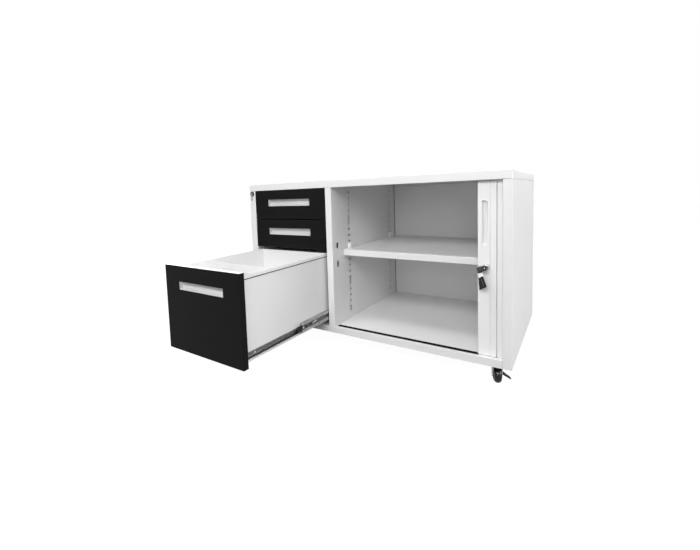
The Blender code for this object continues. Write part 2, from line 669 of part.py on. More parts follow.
def build_shutter_lock(shutter):
    at = (LOCK_X, 0.0, LOCK_Z)
    bore = LOCK_BORE
    barrel = [(bore, LOCK_FACE), (bore, LOCK_END), (LOCK_BODY, LOCK_END), (LOCK_BODY, LEAD_FACE - SEAT),
              (LOCK_RADIUS, LEAD_FACE - SEAT), (LOCK_RADIUS, LOCK_FACE)]
    turned("shutter_lock_barrel", barrel, at, "y", CHROME, shutter)
    turn = joint_empty("shutter_lock_turn", Vector((LOCK_X, LOCK_FACE, LOCK_Z)) - body_offset(shutter),
                       shutter, -YOKE_TURN, "y")
    front = LOCK_FACE - SEAT
    key_face = front - YOKE_DEPTH
    plug = link_mesh("shutter_lock_plug", rod(at, "y", key_face, LOCK_END, bore - SEAT), CHROME, turn)
    yoke = rounded_rectangle((LOCK_X - YOKE_LENGTH, LOCK_Z - YOKE_HEIGHT / 2),
                             (LOCK_X + bore, LOCK_Z + YOKE_HEIGHT / 2), bore)
    combine(plug, prism(yoke, "y", key_face, front), "UNION")
    key_x = LOCK_X - KEY_OFFSET
    hinge = Vector((key_x, key_face, LOCK_Z - YOKE_HEIGHT / 2 - SEAT))
    fold = joint_empty("shutter_key_fold", hinge - body_offset(turn), turn)
    top = hinge.z - KEY_TOP + YOKE_HEIGHT / 2
    outline = [(key_x - KEY_TOP_WIDTH / 4, hinge.z), (key_x - KEY_TOP_WIDTH / 4, top),
               (key_x - KEY_TOP_WIDTH / 2, top), (key_x - KEY_WIDTH / 2, top - KEY_LENGTH),
               (key_x + KEY_WIDTH / 2, top - KEY_LENGTH), (key_x + KEY_TOP_WIDTH / 2, top),
               (key_x + KEY_TOP_WIDTH / 4, top), (key_x + KEY_TOP_WIDTH / 4, hinge.z)]
    link_mesh("shutter_key", prism(outline, "y", key_face, key_face + KEY_THICKNESS), PLASTIC, fold)
    slide = joint_empty("shutter_bolt_slide", Vector((LEAD_LEFT, BOLT_Y, LOCK_Z)) - body_offset(shutter),
                        shutter)
    stem_left = LEAD_LEFT + BOLT_THROW + TONGUE_ROOT
    stem_right = stem_left + BOLT_STEM
    reach = BOLT_SPREAD + TONGUE_HEIGHT / 2
    inner = BOLT_SPREAD - TONGUE_HEIGHT / 2
    outline = [(LEAD_LEFT, LOCK_Z - reach), (stem_right, LOCK_Z - reach), (stem_right, LOCK_Z + reach),
               (LEAD_LEFT, LOCK_Z + reach), (LEAD_LEFT, LOCK_Z + inner), (stem_left, LOCK_Z + inner),
               (stem_left, LOCK_Z - inner), (LEAD_LEFT, LOCK_Z - inner)]
    link_mesh("shutter_bolt", prism(outline, "y", BOLT_Y, BOLT_Y + BOLT_THICKNESS), ZINC, slide)


# Drawers and their slides

def channel(wall, mouth, height, width, web, race, start, end, middle, bm=None):
    """A slide member: a channel along Y with its web at wall, open towards mouth, with thick ball races."""
    half = height / 2
    section = [(0.0, -half), (width, -half), (width, race - half), (web, race - half), (web, half - race),
               (width, half - race), (width, half), (0.0, half)]
    return prism([(wall + mouth * x, middle + z) for x, z in section], "y", start, end, bm)


def slide_outer(name, left, height, middle):
    wall = BAY_LEFT + SEAT if left else BAY_RIGHT - SEAT
    way = 1 if left else -1
    end = SLIDE_FRONT + SLIDE_LENGTH
    link_mesh(name, channel(wall, way, height, OUTER_WIDTH, SLIDE_WEB, RACE, SLIDE_FRONT, end, middle), ZINC)


def inner_channel(left, height, middle, start, inset=0.0, bm=None):
    wall = BOX_LEFT - SEAT + inset if left else BOX_RIGHT + SEAT - inset
    way = -1 if left else 1
    return channel(wall, way, height, INNER_WIDTH + inset, SLIDE_WEB + inset, RACE - SLIDE_WEB, start,
                   start + SLIDE_LENGTH, middle, bm)


def drawer_front(label, front, bottom, height, drop, body):
    """The black front skin, folded back at both sides, with the moulded pull behind its window."""
    path = [(FRONT_LEFT, front + FRONT_RETURN), (FRONT_LEFT, front), (FRONT_RIGHT, front),
            (FRONT_RIGHT, front + FRONT_RETURN)]
    skin = folded_sheet(f"{label}_drawer_front", path, bottom, bottom + height, BLACK, body)
    middle_x = (FRONT_LEFT + FRONT_RIGHT) / 2
    middle_z = bottom + height - drop
    low = (middle_x - PULL_WIDTH / 2, middle_z - PULL_HEIGHT / 2)
    high = (middle_x + PULL_WIDTH / 2, middle_z + PULL_HEIGHT / 2)
    window = box((low[0], front - CUT_PAST, low[1]), (high[0], front + SHEET + CUT_PAST, high[1]))
    combine(skin, window, "DIFFERENCE")
    seat = front + SHEET + SEAT
    flange = box((low[0] - PULL_FLANGE, seat, low[1] - PULL_FLANGE),
                 (high[0] + PULL_FLANGE, seat + PULL_WALL, high[1] + PULL_FLANGE))
    pull = link_mesh(f"{label}_drawer_pull", flange, WHITE, body)
    shell = [(seat + PULL_WALL / 2, low[1] - PULL_WALL), (seat + PULL_DEPTH, high[1] - PULL_ROOF - PULL_WALL),
             (seat + PULL_DEPTH, high[1] + PULL_WALL), (seat + PULL_WALL / 2, high[1] + PULL_WALL)]
    combine(pull, prism(shell, "x", low[0] - PULL_WALL, high[0] + PULL_WALL), "UNION")
    floor = seat + PULL_DEPTH - PULL_WALL
    scoop = [(seat - CUT_PAST, low[1]), (seat, low[1]), (floor, high[1] - PULL_ROOF), (floor, high[1]),
             (seat - CUT_PAST, high[1])]
    combine(pull, prism(scoop, "x", low[0], high[0]), "DIFFERENCE")


def drawer_box(name, front, bottom, height, lift, rim_drop, body):
    """A folded steel drawer with a thick rim, and a front wall folded forward to meet the skin."""
    near = front + FRONT_RETURN
    far = near + BOX_DEPTH
    floor = bottom + lift
    rim = bottom + height - rim_drop
    item = link_mesh(name, box((BOX_LEFT, near, floor), (BOX_RIGHT, far, rim)), WHITE, body)
    hem = box((BOX_LEFT - RIM_OUT, near, rim - RIM_HEIGHT), (BOX_RIGHT + RIM_OUT, far + RIM_OUT, rim))
    combine(item, hem, "UNION")
    lip = front + SHEET + SEAT
    top = bottom + height
    back = near + BOX_WALL
    under = top - BOX_WALL
    over = bottom + BOX_WALL
    section = [(lip, bottom), (back, bottom), (back, top), (lip, top), (lip, under), (near, under),
               (near, over), (lip, over)]
    side = SHEET + SEAT
    combine(item, prism(section, "x", FRONT_LEFT + side, FRONT_RIGHT - side), "UNION")
    hollow = box((BOX_LEFT + BOX_WALL, near + BOX_WALL, floor + BOX_WALL),
                 (BOX_RIGHT - BOX_WALL, far - BOX_WALL, rim + CUT_PAST))
    combine(item, hollow, "DIFFERENCE")
    return item


def file_rail(item, front):
    """The rail across the file drawer, flush with its rim, that the hanging files stand against."""
    near = front + FRONT_RETURN + FILE_RAIL_BACK
    rim = FILE_BOTTOM + FILE_FRONT_HEIGHT - FILE_RIM_DROP
    rail = box((BOX_LEFT + BOX_WALL / 2, near, rim - FILE_RAIL_HEIGHT),
               (BOX_RIGHT - BOX_WALL / 2, near + FILE_RAIL_THICKNESS, rim - SEAT))
    combine(item, rail, "UNION")


def build_box_drawer(label, bottom):
    body = joint_empty(f"{label}_drawer_slide", (0.0, FRONT, bottom))
    drawer_front(label, FRONT, bottom, BOX_FRONT_HEIGHT, BOX_PULL_DROP, body)
    item = drawer_box(f"{label}_drawer_box", FRONT, bottom, BOX_FRONT_HEIGHT, BOX_LIFT, BOX_RIM_DROP, body)
    middle = bottom + BOX_LIFT + BOX_SLIDE_RISE
    inner_height = BOX_SLIDE_HEIGHT - 2 * RACE - 2 * RUNNING
    runners = inner_channel(True, inner_height, middle, SLIDE_FRONT, SEAT + BOX_WALL / 2)
    inner_channel(False, inner_height, middle, SLIDE_FRONT, SEAT + BOX_WALL / 2, runners)
    combine(item, runners, "UNION")
    for left, hand in ((True, "left"), (False, "right")):
        slide_outer(f"{label}_slide_outer_{hand}", left, BOX_SLIDE_HEIGHT, middle)


def build_file_drawer():
    front = FRONT - FILE_TRAVEL
    body = joint_empty("file_drawer_slide", (0.0, front, FILE_BOTTOM))
    drawer_front("file", front, FILE_BOTTOM, FILE_FRONT_HEIGHT, FILE_PULL_DROP, body)
    item = drawer_box("file_drawer_box", front, FILE_BOTTOM, FILE_FRONT_HEIGHT, FILE_BOX_LIFT, FILE_RIM_DROP,
                      body)
    file_rail(item, front)
    middle = FILE_BOTTOM + FILE_BOX_LIFT + SLIDE_RISE
    middle_height = FILE_SLIDE_HEIGHT - 2 * RACE - 2 * RUNNING
    inner_height = middle_height - 2 * RACE - 2 * RUNNING
    half_out = joint_empty("file_slide_middle", (0.0, FRONT, middle))
    start = SLIDE_FRONT + MIDDLE_SETBACK - MIDDLE_SHARE * FILE_TRAVEL
    inner_start = SLIDE_FRONT - FILE_TRAVEL
    for left, hand in ((True, "left"), (False, "right")):
        slide_outer(f"file_slide_outer_{hand}", left, FILE_SLIDE_HEIGHT, middle)
        way = 1 if left else -1
        wall = (BAY_LEFT if left else BAY_RIGHT) + way * (SEAT + SLIDE_WEB + RUNNING)
        end = start + MIDDLE_LENGTH
        member = channel(wall, way, middle_height, MIDDLE_WIDTH, SLIDE_WEB, RACE, start, end, middle)
        link_mesh(f"file_slide_middle_{hand}", member, ZINC, half_out)
        inner = inner_channel(left, inner_height, middle, inner_start)
        link_mesh(f"file_slide_inner_{hand}", inner, DARK_ZINC, body)


def build_drawer_lock():
    x, face, z = DRAWER_LOCK
    out = face - FACE_THICKNESS
    bore = LOCK_BORE
    housing = [(bore, out), (bore, HOUSING_END), (LOCK_BODY, HOUSING_END), (LOCK_BODY, face - SEAT),
               (FACE_RADIUS, face - SEAT), (FACE_RADIUS, out)]
    turned("drawer_lock_housing", housing, (x, 0.0, z), "y", DARK_ZINC)
    turn = joint_empty("drawer_lock_turn", (x, face, z))
    plug = rod((x, 0.0, z), "y", out, HOUSING_END + SEAT, bore - SEAT)
    link_mesh("drawer_lock_plug", plug, DARK_ZINC, turn)
    key_half = FOLD_KEY_WIDTH / 2
    key = rounded_rectangle((x - key_half, z - FOLD_KEY_LENGTH), (x + key_half, z + key_half),
                            FOLD_KEY_THICKNESS)
    link_mesh("drawer_key", prism(key, "y", out - SEAT - FOLD_KEY_THICKNESS, out - SEAT), CHROME, turn)
    cam_face = HOUSING_END + 2 * SEAT
    half = CAM_WIDTH / 2
    cam = rounded_rectangle((x + half - CAM_LENGTH, z - half), (x + half, z + half), half - SEAT)
    link_mesh("drawer_lock_cam", prism(cam, "y", cam_face, cam_face + CAM_THICKNESS), ZINC, turn)
    bar_face = cam_face + CAM_THICKNESS + SEAT
    lift = joint_empty("drawer_lock_bar_slide", (x, bar_face, z))
    bar = box((x - BAR_WIDTH / 2, bar_face, DECK + BAR_FOOT),
              (x + BAR_WIDTH / 2, bar_face + BAR_THICKNESS, RAIL_UNDER - BAR_TOP_GAP))
    link_mesh("drawer_lock_bar", bar, ZINC, lift)


# Castors

def build_castor(label, x, y, braked):
    place = Vector((x, y, 0.0))
    plate_top = BODY_BOTTOM - SEAT
    plate_under = plate_top - PLATE_THICKNESS
    half = PLATE_SIZE / 2
    square = box((x - half, y - half, plate_under), (x + half, y + half, plate_top))
    plate = link_mesh(f"castor_plate_{label}", square, ZINC)
    boss_under = plate_under - BOSS_HEIGHT
    combine(plate, rod(place, "z", boss_under, plate_under + PLATE_THICKNESS / 2, BOSS_RADIUS), "UNION")
    king_bore = rod(place, "z", boss_under - CUT_PAST, plate_top + CUT_PAST, KING_PIN + SEAT)
    combine(plate, king_bore, "DIFFERENCE")
    swivel = joint_empty(f"castor_swivel_{label}", place, turn=CASTOR_TURN)
    crown_top = boss_under - SEAT
    crown_under = crown_top - CROWN_THICKNESS
    crown = rod(Vector(), "z", crown_under, crown_top, BOSS_RADIUS)
    fork = link_mesh(f"castor_fork_{label}", crown, ZINC, swivel, True)
    combine(fork, rod(Vector(), "z", crown_under, plate_top - SEAT, KING_PIN), "UNION", True)
    inner = WHEEL_WIDTH / 2 + 2 * SEAT
    outer = inner + FORK_SHEET
    axle = (0.0, -TRAIL, WHEEL_RADIUS)
    bridge = box((-outer, -TRAIL - FORK_WIDTH / 2, crown_under), (outer, BOSS_RADIUS, crown_top))
    combine(fork, bridge, "UNION", True)
    for way in (-1, 1):
        eye = arc((-TRAIL, WHEEL_RADIUS), FORK_WIDTH / 4, 180, 360, ROUND_STEPS)
        leg = [(-TRAIL - FORK_WIDTH / 2, crown_top)] + eye + [(BOSS_RADIUS - FORK_WIDTH / 4, crown_top)]
        combine(fork, prism(leg, "x", way * inner, way * outer), "UNION", True)
    combine(fork, rod(axle, "x", -inner - FORK_SHEET / 2, inner + FORK_SHEET / 2, AXLE_RADIUS), "UNION", True)
    spin = joint_empty(f"castor_axle_{label}", axle, swivel)
    half_width = WHEEL_WIDTH / 2
    bore = AXLE_RADIUS + SEAT
    shoulder = WHEEL_RADIUS - WHEEL_SHOULDER
    tread = arc((shoulder, half_width - WHEEL_SHOULDER), WHEEL_SHOULDER, 90, 0, BEND_STEPS)
    hub = bore + HUB_RECESS
    rim = shoulder - HUB_RECESS
    recess = half_width - HUB_RECESS
    upper = [(bore, half_width), (hub, half_width), (hub, recess), (rim, recess), (rim, half_width)] + tread
    profile = upper + [(radius, -along) for radius, along in reversed(upper)]
    wheel = turned(f"castor_wheel_{label}", profile, (0.0, 0.0, 0.0), "x", PLASTIC, None, WHEEL_STEPS)
    wheel.parent = spin
    if braked:
        build_brake(label, swivel, outer)


def build_brake(label, swivel, leg_face):
    """The brake lever: a paddle beside the fork leg that is trodden down."""
    root = LEVER_THICKNESS
    pivot = Vector((leg_face + root + SEAT, -TRAIL, LEVER_HEIGHT))
    hinge = joint_empty(f"castor_brake_{label}", pivot, swivel)
    slope = math.degrees(math.atan2(-LEVER_FALL, LEVER_REACH))
    end = (LEVER_REACH, -LEVER_FALL)
    outline = arc((0.0, 0.0), root, slope + 90, slope + 270, ROUND_STEPS)
    outline += arc(end, LEVER_THICKNESS / 2, slope - 90, slope + 90, ROUND_STEPS)
    paddle = prism(outline, "y", -LEVER_WIDTH / 2, LEVER_WIDTH / 2)
    link_mesh(f"castor_brake_lever_{label}", paddle, PLASTIC, hinge, True)


def build_castors():
    for side, x in (("left", LEFT + CASTOR_INSET_X), ("right", RIGHT - CASTOR_INSET_X)):
        build_castor(f"front_{side}", x, FRONT + CASTOR_INSET_Y, True)
        build_castor(f"rear_{side}", x, BACK - CASTOR_INSET_Y, False)


def main():
    build_carcass()
    build_divider()
    build_cupboard()
    build_tracks()
    build_shutter()
    build_box_drawer("upper", DRAWER_ONE)
    build_box_drawer("lower", DRAWER_TWO)
    build_file_drawer()
    build_drawer_lock()
    build_castors()
    print("pieces:", len([item for item in PARTS.objects if item.type == "MESH"]))


main()
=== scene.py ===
# %% [markdown]
# # A steel cabinet with a roller shutter
#
# The working model already holds every piece that moves or carries: folded panels, drawers on slides, a
# shutter in its track, locks and castors. This lesson dresses it. Each sheet of steel gets the small
# radius that a press brake leaves, each moulding its soft edges, and each finish a procedural material of
# its own.

# %% Load the working model
import json
import math

import bmesh
import bpy
import numpy as np
from mathutils import Matrix, Vector

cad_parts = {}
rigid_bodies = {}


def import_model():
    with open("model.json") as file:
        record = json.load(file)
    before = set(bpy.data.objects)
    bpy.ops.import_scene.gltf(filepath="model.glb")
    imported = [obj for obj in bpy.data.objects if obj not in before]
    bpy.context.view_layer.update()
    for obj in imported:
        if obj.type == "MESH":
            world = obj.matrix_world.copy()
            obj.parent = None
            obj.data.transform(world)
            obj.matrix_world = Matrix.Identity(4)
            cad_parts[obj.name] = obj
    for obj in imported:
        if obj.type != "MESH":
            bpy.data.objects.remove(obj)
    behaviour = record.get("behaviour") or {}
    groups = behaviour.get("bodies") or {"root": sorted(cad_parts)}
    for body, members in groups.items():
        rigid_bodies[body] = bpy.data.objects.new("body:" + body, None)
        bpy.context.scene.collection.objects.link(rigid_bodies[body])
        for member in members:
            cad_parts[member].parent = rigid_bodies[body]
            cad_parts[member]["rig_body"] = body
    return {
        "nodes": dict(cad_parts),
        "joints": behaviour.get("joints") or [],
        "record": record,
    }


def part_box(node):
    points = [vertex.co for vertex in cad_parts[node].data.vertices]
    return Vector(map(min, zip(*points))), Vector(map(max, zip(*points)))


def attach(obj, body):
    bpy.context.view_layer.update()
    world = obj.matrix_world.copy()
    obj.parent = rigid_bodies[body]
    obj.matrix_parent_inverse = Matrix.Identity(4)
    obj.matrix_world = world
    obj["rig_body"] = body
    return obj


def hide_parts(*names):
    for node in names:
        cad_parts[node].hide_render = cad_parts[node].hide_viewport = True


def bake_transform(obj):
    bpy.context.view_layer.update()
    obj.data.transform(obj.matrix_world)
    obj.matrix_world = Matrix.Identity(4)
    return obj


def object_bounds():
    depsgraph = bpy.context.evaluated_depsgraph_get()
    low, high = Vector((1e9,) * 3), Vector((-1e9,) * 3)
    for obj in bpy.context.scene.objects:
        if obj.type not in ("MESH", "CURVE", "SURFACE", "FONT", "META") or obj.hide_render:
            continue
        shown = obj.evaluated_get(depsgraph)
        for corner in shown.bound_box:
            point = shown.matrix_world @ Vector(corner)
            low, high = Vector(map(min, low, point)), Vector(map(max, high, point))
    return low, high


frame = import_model()
cad_low, cad_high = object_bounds()
SCENE = bpy.context.scene
NODES = frame["nodes"]
JOINTS = {row["name"]: row for row in frame["joints"]}
BODY_OF = {node: item["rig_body"] for node, item in NODES.items()}
SLOT_OF = {row["node"]: row["material_slot"] for row in frame["record"]["subparts"]}

# %% [markdown]
# ## The camera
#
# The photograph was taken about 1.3 m in front of the cabinet and to its right, just below the height of
# its top, with a wide lens. Its picture was then cut down and set off centre on the page. A small shift
# of the lens does the same here, and leaves the perspective alone.

# %% Camera
CAMERA_PLACE = Vector((0.6781, -1.2544, 0.605))
HEADING = math.radians(35.05)
TILT = math.radians(4.56)
ROLL = math.radians(-2.07)
SENSOR = 36.0
LENS = 19.02
SHIFT = (0.0434, -0.0720)

camera_data = bpy.data.cameras.new("photo_camera")
camera_data.sensor_width = SENSOR
camera_data.lens = LENS
camera_data.shift_x, camera_data.shift_y = SHIFT
camera = bpy.data.objects.new("photo_camera", camera_data)
SCENE.collection.objects.link(camera)
facing = Matrix.Rotation(HEADING, 4, "Z") @ Matrix.Rotation(math.pi / 2 - TILT, 4, "X")
camera.matrix_world = Matrix.Translation(CAMERA_PLACE) @ facing @ Matrix.Rotation(ROLL, 4, "Z")
SCENE.camera = camera
print("camera", [round(value, 3) for value in camera.location])

# %% [markdown]
# ## Finishes
#
# Every colour is written as the hex value that a paint card would give. Screens store colours with a
# curve, and a renderer adds light without one, so a function turns hex into linear values. One more
# function adds a node, sets what it is told and links it. The same function builds the Geometry Nodes
# trees further down.

# %% Helpers for nodes
RAMP = (0.35, 0.65)


def linear(hex_colour):
    """An sRGB hex colour as linear red, green, blue and alpha."""
    values = [int(hex_colour[k:k + 2], 16) / 255 for k in (1, 3, 5)]
    return tuple(v / 12.92 if v <= 0.04045 else ((v + 0.055) / 1.055) ** 2.4 for v in values) + (1.0,)


def add_node(tree, kind, inputs=None, **settings):
    """Add one node. Inputs hold a value, or the output socket to link from."""
    node = tree.nodes.new(kind)
    for key, value in settings.items():
        setattr(node, key, value)
    for key, value in (inputs or {}).items():
        if isinstance(value, bpy.types.NodeSocket):
            tree.links.new(value, node.inputs[key])
        else:
            node.inputs[key].default_value = value
    return node


def start_material(name, **constants):
    """A material, its tree, its shader and the piece's own coordinates. Constants go on the shader itself."""
    material = bpy.data.materials.new(name)
    material.use_nodes = True
    tree = material.node_tree
    shader = tree.nodes["Principled BSDF"]
    for key, value in constants.items():
        shader.inputs[key.replace("_", " ")].default_value = value
    place = add_node(tree, "ShaderNodeTexCoord").outputs["Object"]
    return material, tree, shader, place


def link(tree, source, shader, name):
    tree.links.new(source, shader.inputs[name])


def two_tones(tree, amount, light, dark):
    """A colour ramp between two close tones."""
    tone = add_node(tree, "ShaderNodeValToRGB", {"Fac": amount})
    tone.color_ramp.elements[0].color = linear(dark)
    tone.color_ramp.elements[1].color = linear(light)
    tone.color_ramp.elements[0].position, tone.color_ramp.elements[1].position = RAMP
    return tone.outputs["Color"]


def fine_lines(tree, place, scale):
    """Noise that is drawn out into lines, by a scale for each direction."""
    stretch = add_node(tree, "ShaderNodeMapping", {"Vector": place, "Scale": scale})
    noise = {"Vector": stretch.outputs["Vector"], "Scale": 1.0, "Detail": 2.0}
    return add_node(tree, "ShaderNodeTexNoise", noise).outputs["Fac"]


def surface(tree, shader, tone, colours, pattern, gloss, bump=None):
    """Two tones, a roughness that wanders with a pattern and, where it is given, that pattern's bump."""
    link(tree, two_tones(tree, tone, *colours), shader, "Base Color")
    sheen = add_node(tree, "ShaderNodeMapRange", {"Value": pattern, "To Min": gloss[0], "To Max": gloss[1]})
    link(tree, sheen.outputs["Result"], shader, "Roughness")
    if bump:
        strength, depth = bump
        relief = {"Height": pattern, "Strength": strength, "Distance": depth}
        link(tree, add_node(tree, "ShaderNodeBump", relief).outputs["Normal"], shader, "Normal")


# %% [markdown]
# ### Powder coat
#
# The panels are steel with a baked powder coat. The powder melts and flows, but never quite flat: it
# keeps a skin like orange peel, with grains about 1.5 mm apart. White and black are the same coat in two
# colours, so one function makes both. The bump is drawn a little deeper than life, because at this
# distance the real one would vanish. The black coat is a matt one and gets a low specular level.

# %% Powder coats
PEEL_SIZE = 0.0016
CLOUD_SIZE = 0.35
PEEL_STRENGTH = 0.25


def powder_coat(name, light, dark, gloss, peel_depth, specular):
    """Baked powder coat: two close tones in broad clouds, and an orange-peel skin."""
    material, tree, shader, place = start_material(name, Specular_IOR_Level=specular)
    cloud = add_node(tree, "ShaderNodeTexNoise", {"Vector": place, "Scale": 1 / CLOUD_SIZE, "Detail": 3.0})
    peel = add_node(tree, "ShaderNodeTexNoise", {"Vector": place, "Scale": 1 / PEEL_SIZE, "Detail": 1.0})
    surface(tree, shader, cloud.outputs["Fac"], (light, dark), peel.outputs["Fac"], gloss,
            (PEEL_STRENGTH, peel_depth))
    return material


WHITE_COAT = powder_coat("white_powder_coat", "#F2F2F2", "#EFEFEF", (0.40, 0.50), 0.00012, 0.3)
BLACK_COAT = powder_coat("black_powder_coat", "#161617", "#131314", (0.45, 0.58), 0.00020, 0.08)

# %% [markdown]
# ### Plastics
#
# The slats and the lead rail are extruded, which leaves faint die lines along their length. The castor
# wheels, the levers, the track and the key's bow are moulded, with the fine grain of a spark-eroded
# mould.

# %% Plastics
DIE_LINE = 0.0009
DIE_REACH = 1 / 1.5
DIE_SPREAD = 0.05
DIE_SPECULAR = 0.4
DIE_BUMP = (0.15, 0.0001)
GRAIN = 0.0008
GRAIN_SPREAD = 0.06
GRAIN_STRENGTH = 0.2


def extruded_plastic(name, light, dark, roughness):
    """Extruded plastic with die lines that run up the piece."""
    material, tree, shader, place = start_material(name, Specular_IOR_Level=DIE_SPECULAR)
    lines = fine_lines(tree, place, (1 / DIE_LINE, 1 / DIE_LINE, 1 / DIE_REACH))
    gloss = (roughness - DIE_SPREAD, roughness + DIE_SPREAD)
    surface(tree, shader, lines, (light, dark), lines, gloss, DIE_BUMP)
    return material


def moulded_plastic(name, light, dark, roughness, specular=0.5, depth=0.0001):
    """Injection-moulded plastic with a fine, even grain."""
    material, tree, shader, place = start_material(name, Specular_IOR_Level=specular)
    grain = add_node(tree, "ShaderNodeTexVoronoi", {"Vector": place, "Scale": 1 / GRAIN})
    surface(tree, shader, grain.outputs["Distance"], (light, dark), grain.outputs["Distance"],
            (roughness - GRAIN_SPREAD, roughness + GRAIN_SPREAD), (GRAIN_STRENGTH, depth))
    return material


SLAT_PLASTIC = extruded_plastic("white_extruded_pvc", "#F8F8F8", "#F5F5F5", 0.42)
CUP_PLASTIC = moulded_plastic("white_moulded_abs", "#F6F6F6", "#F3F3F3", 0.38)
BLACK_PLASTIC = moulded_plastic("black_moulded_nylon", "#0C0C0D", "#080809", 0.34, 0.3)
BLACK_GLOSS = moulded_plastic("black_polished_nylon", "#0C0C0D", "#080809", 0.18, 0.5, 0.00001)
# Gunmetal grey is the lock head's own colour; on the key's rib it is a painted highlight.
GUNMETAL_AND_HIGHLIGHT = moulded_plastic("gunmetal_nylon_and_painted_highlight", "#434345", "#39393B", 0.30, 0.5, 0.00003)
# The pulls are white mouldings, made pale grey here: painted shade for the shade inside their scoops.
SHADED_PULL_PLASTIC = moulded_plastic("white_abs_greyed_painted_shade", "#DCDCDC", "#D8D8D8", 0.42, 0.3)

# %% [markdown]
# ### Plated steel
#
# Slides, castor forks and the bolt are zinc plated. Rolling and plating leave a grey that shifts in small
# patches and fine lines along the strip. The slides' inner members are a darker zinc, painted shade for
# the inside of their channel, with a bright bead as a painted highlight. The lock is chromed and the link
# of its key has a satin nickel plate, which spreads the light and so looks nearly white.

# %% Metals
PATCH = 0.006
ROLL_LINE = 0.0012
ROLL_REACH = 0.25
ROLL_SPREAD = 0.08


def plated_steel(name, light, dark, roughness):
    """Plated steel strip: patches of two greys, and rolling lines along Y."""
    material, tree, shader, place = start_material(name, Metallic=1.0)
    patch = add_node(tree, "ShaderNodeTexVoronoi", {"Vector": place, "Scale": 1 / PATCH})
    lines = fine_lines(tree, place, (1 / ROLL_LINE, 1 / ROLL_REACH, 1 / ROLL_LINE))
    surface(tree, shader, patch.outputs["Distance"], (light, dark), lines,
            (roughness - ROLL_SPREAD, roughness + ROLL_SPREAD))
    return material


ZINC = plated_steel("bright_zinc_plate", "#C6C7C9", "#A9AAAD", 0.34)
DARK_ZINC_AND_SHADE = plated_steel("black_zinc_and_painted_shade", "#7E7E81", "#67676A", 0.42)
CHROME = plated_steel("polished_chrome", "#DCDCDE", "#CFCFD2", 0.16)
NICKEL = plated_steel("satin_nickel", "#F2F1EE", "#E6E5E2", 0.48)
# A dark steel that is painted shade: on hole sides and floors, a corner strip and a line under a hem.
PAINTED_SHADE_STEEL = plated_steel("dark_steel_painted_shade", "#2E2D2C", "#242322", 0.55)
FINISH = {"white_powder_coat": WHITE_COAT, "black_powder_coat": BLACK_COAT,
          "white_slat_plastic": SLAT_PLASTIC, "zinc_plated_steel": ZINC, "black_zinc_steel": DARK_ZINC_AND_SHADE,
          "chromed_lock": CHROME, "black_plastic": BLACK_PLASTIC}
print("finishes", len(FINISH))

# %% [markdown]
# ## From a plain solid to a made piece
#
# A solid of the working model arrives as loose triangles. A copy of it is merged back into clean faces, a
# Bevel rounds its sharp edges, and a Weighted Normal keeps the flat faces flat to the eye. The piece then
# takes the solid's place on the body that carries it.

# %% Helpers for pieces
MERGE = 0.00001
FLAT = math.radians(0.5)
SHARP = math.radians(35.0)
ANY_SHAPE = math.pi
HAIR_EDGE = 0.0003
FINE_EDGE = 0.0004
SHEET_EDGE = 0.0005
ROLLED_EDGE = 0.0006
PRESSED_EDGE = 0.0007
SKIN_EDGE = 0.0008
SOFT_EDGE = 0.0012


def put_in_scene(name, mesh):
    item = bpy.data.objects.new(name, mesh)
    SCENE.collection.objects.link(item)
    return item


def face_outwards(bm):
    """Turn a closed shape's faces outwards. Moving a shape leaves its normals stale, so they come first."""
    bm.normal_update()
    bmesh.ops.recalc_face_normals(bm, faces=bm.faces)


def new_piece(name, bm):
    """A mesh object of what a bmesh holds, with its faces turned outwards."""
    face_outwards(bm)
    mesh = bpy.data.meshes.new(name)
    bm.to_mesh(mesh)
    bm.free()
    return put_in_scene(name, mesh)


def merged_copy(node, name):
    """A copy of a solid with its triangles paired back into flat four-sided faces."""
    mesh = NODES[node].data.copy()
    bm = bmesh.new()
    bm.from_mesh(mesh)
    bmesh.ops.remove_doubles(bm, verts=bm.verts, dist=MERGE)
    bmesh.ops.join_triangles(bm, faces=bm.faces, angle_face_threshold=FLAT, angle_shape_threshold=ANY_SHAPE)
    bm.to_mesh(mesh)
    bm.free()
    if "custom_normal" in mesh.attributes:
        mesh.attributes.remove(mesh.attributes["custom_normal"])
    mesh.materials.clear()
    return put_in_scene(name, mesh)


def settle(item):
    """Turn what the modifiers make into a plain mesh."""
    graph = bpy.context.evaluated_depsgraph_get()
    mesh = bpy.data.meshes.new_from_object(item.evaluated_get(graph))
    item.modifiers.clear()
    item.data = mesh
    return item


def cut(item, other, operation="DIFFERENCE"):
    """Take another's shape out of a piece, or keep what the two have in common, and remove the other."""
    taken = item.modifiers.new("cut", "BOOLEAN")
    taken.operation = operation
    taken.object = other
    settle(item)
    bpy.data.objects.remove(other)
    return item


def round_edges(item, radius, segments=2):
    """Round every sharp edge and keep flat faces flat to the eye."""
    item.data.shade_smooth()
    bevel = item.modifiers.new("edge_radius", "BEVEL")
    bevel.width = radius
    bevel.segments = segments
    bevel.limit_method = "ANGLE"
    bevel.angle_limit = SHARP
    normals = item.modifiers.new("flat_faces", "WEIGHTED_NORMAL")
    normals.keep_sharp = True
    return settle(item)


def hang(item, material, body, slot, *nodes):
    """Finish a piece: its material, the body it rides on and the solids that it stands for. The slot is not
    used.
    """
    item.data.materials.clear()
    item.data.materials.append(material)
    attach(item, body)
    if nodes:
        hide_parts(*nodes)
    return item


def stand_in(item, material, node):
    """Finish a piece that stands for one solid."""
    return hang(item, material, BODY_OF[node], SLOT_OF[node], node)


def paint(item, material, chosen):
    """Give the faces that a test picks a second finish."""
    item.data.materials.append(material)
    for face in item.data.polygons:
        if chosen(face):
            face.material_index = len(item.data.materials) - 1


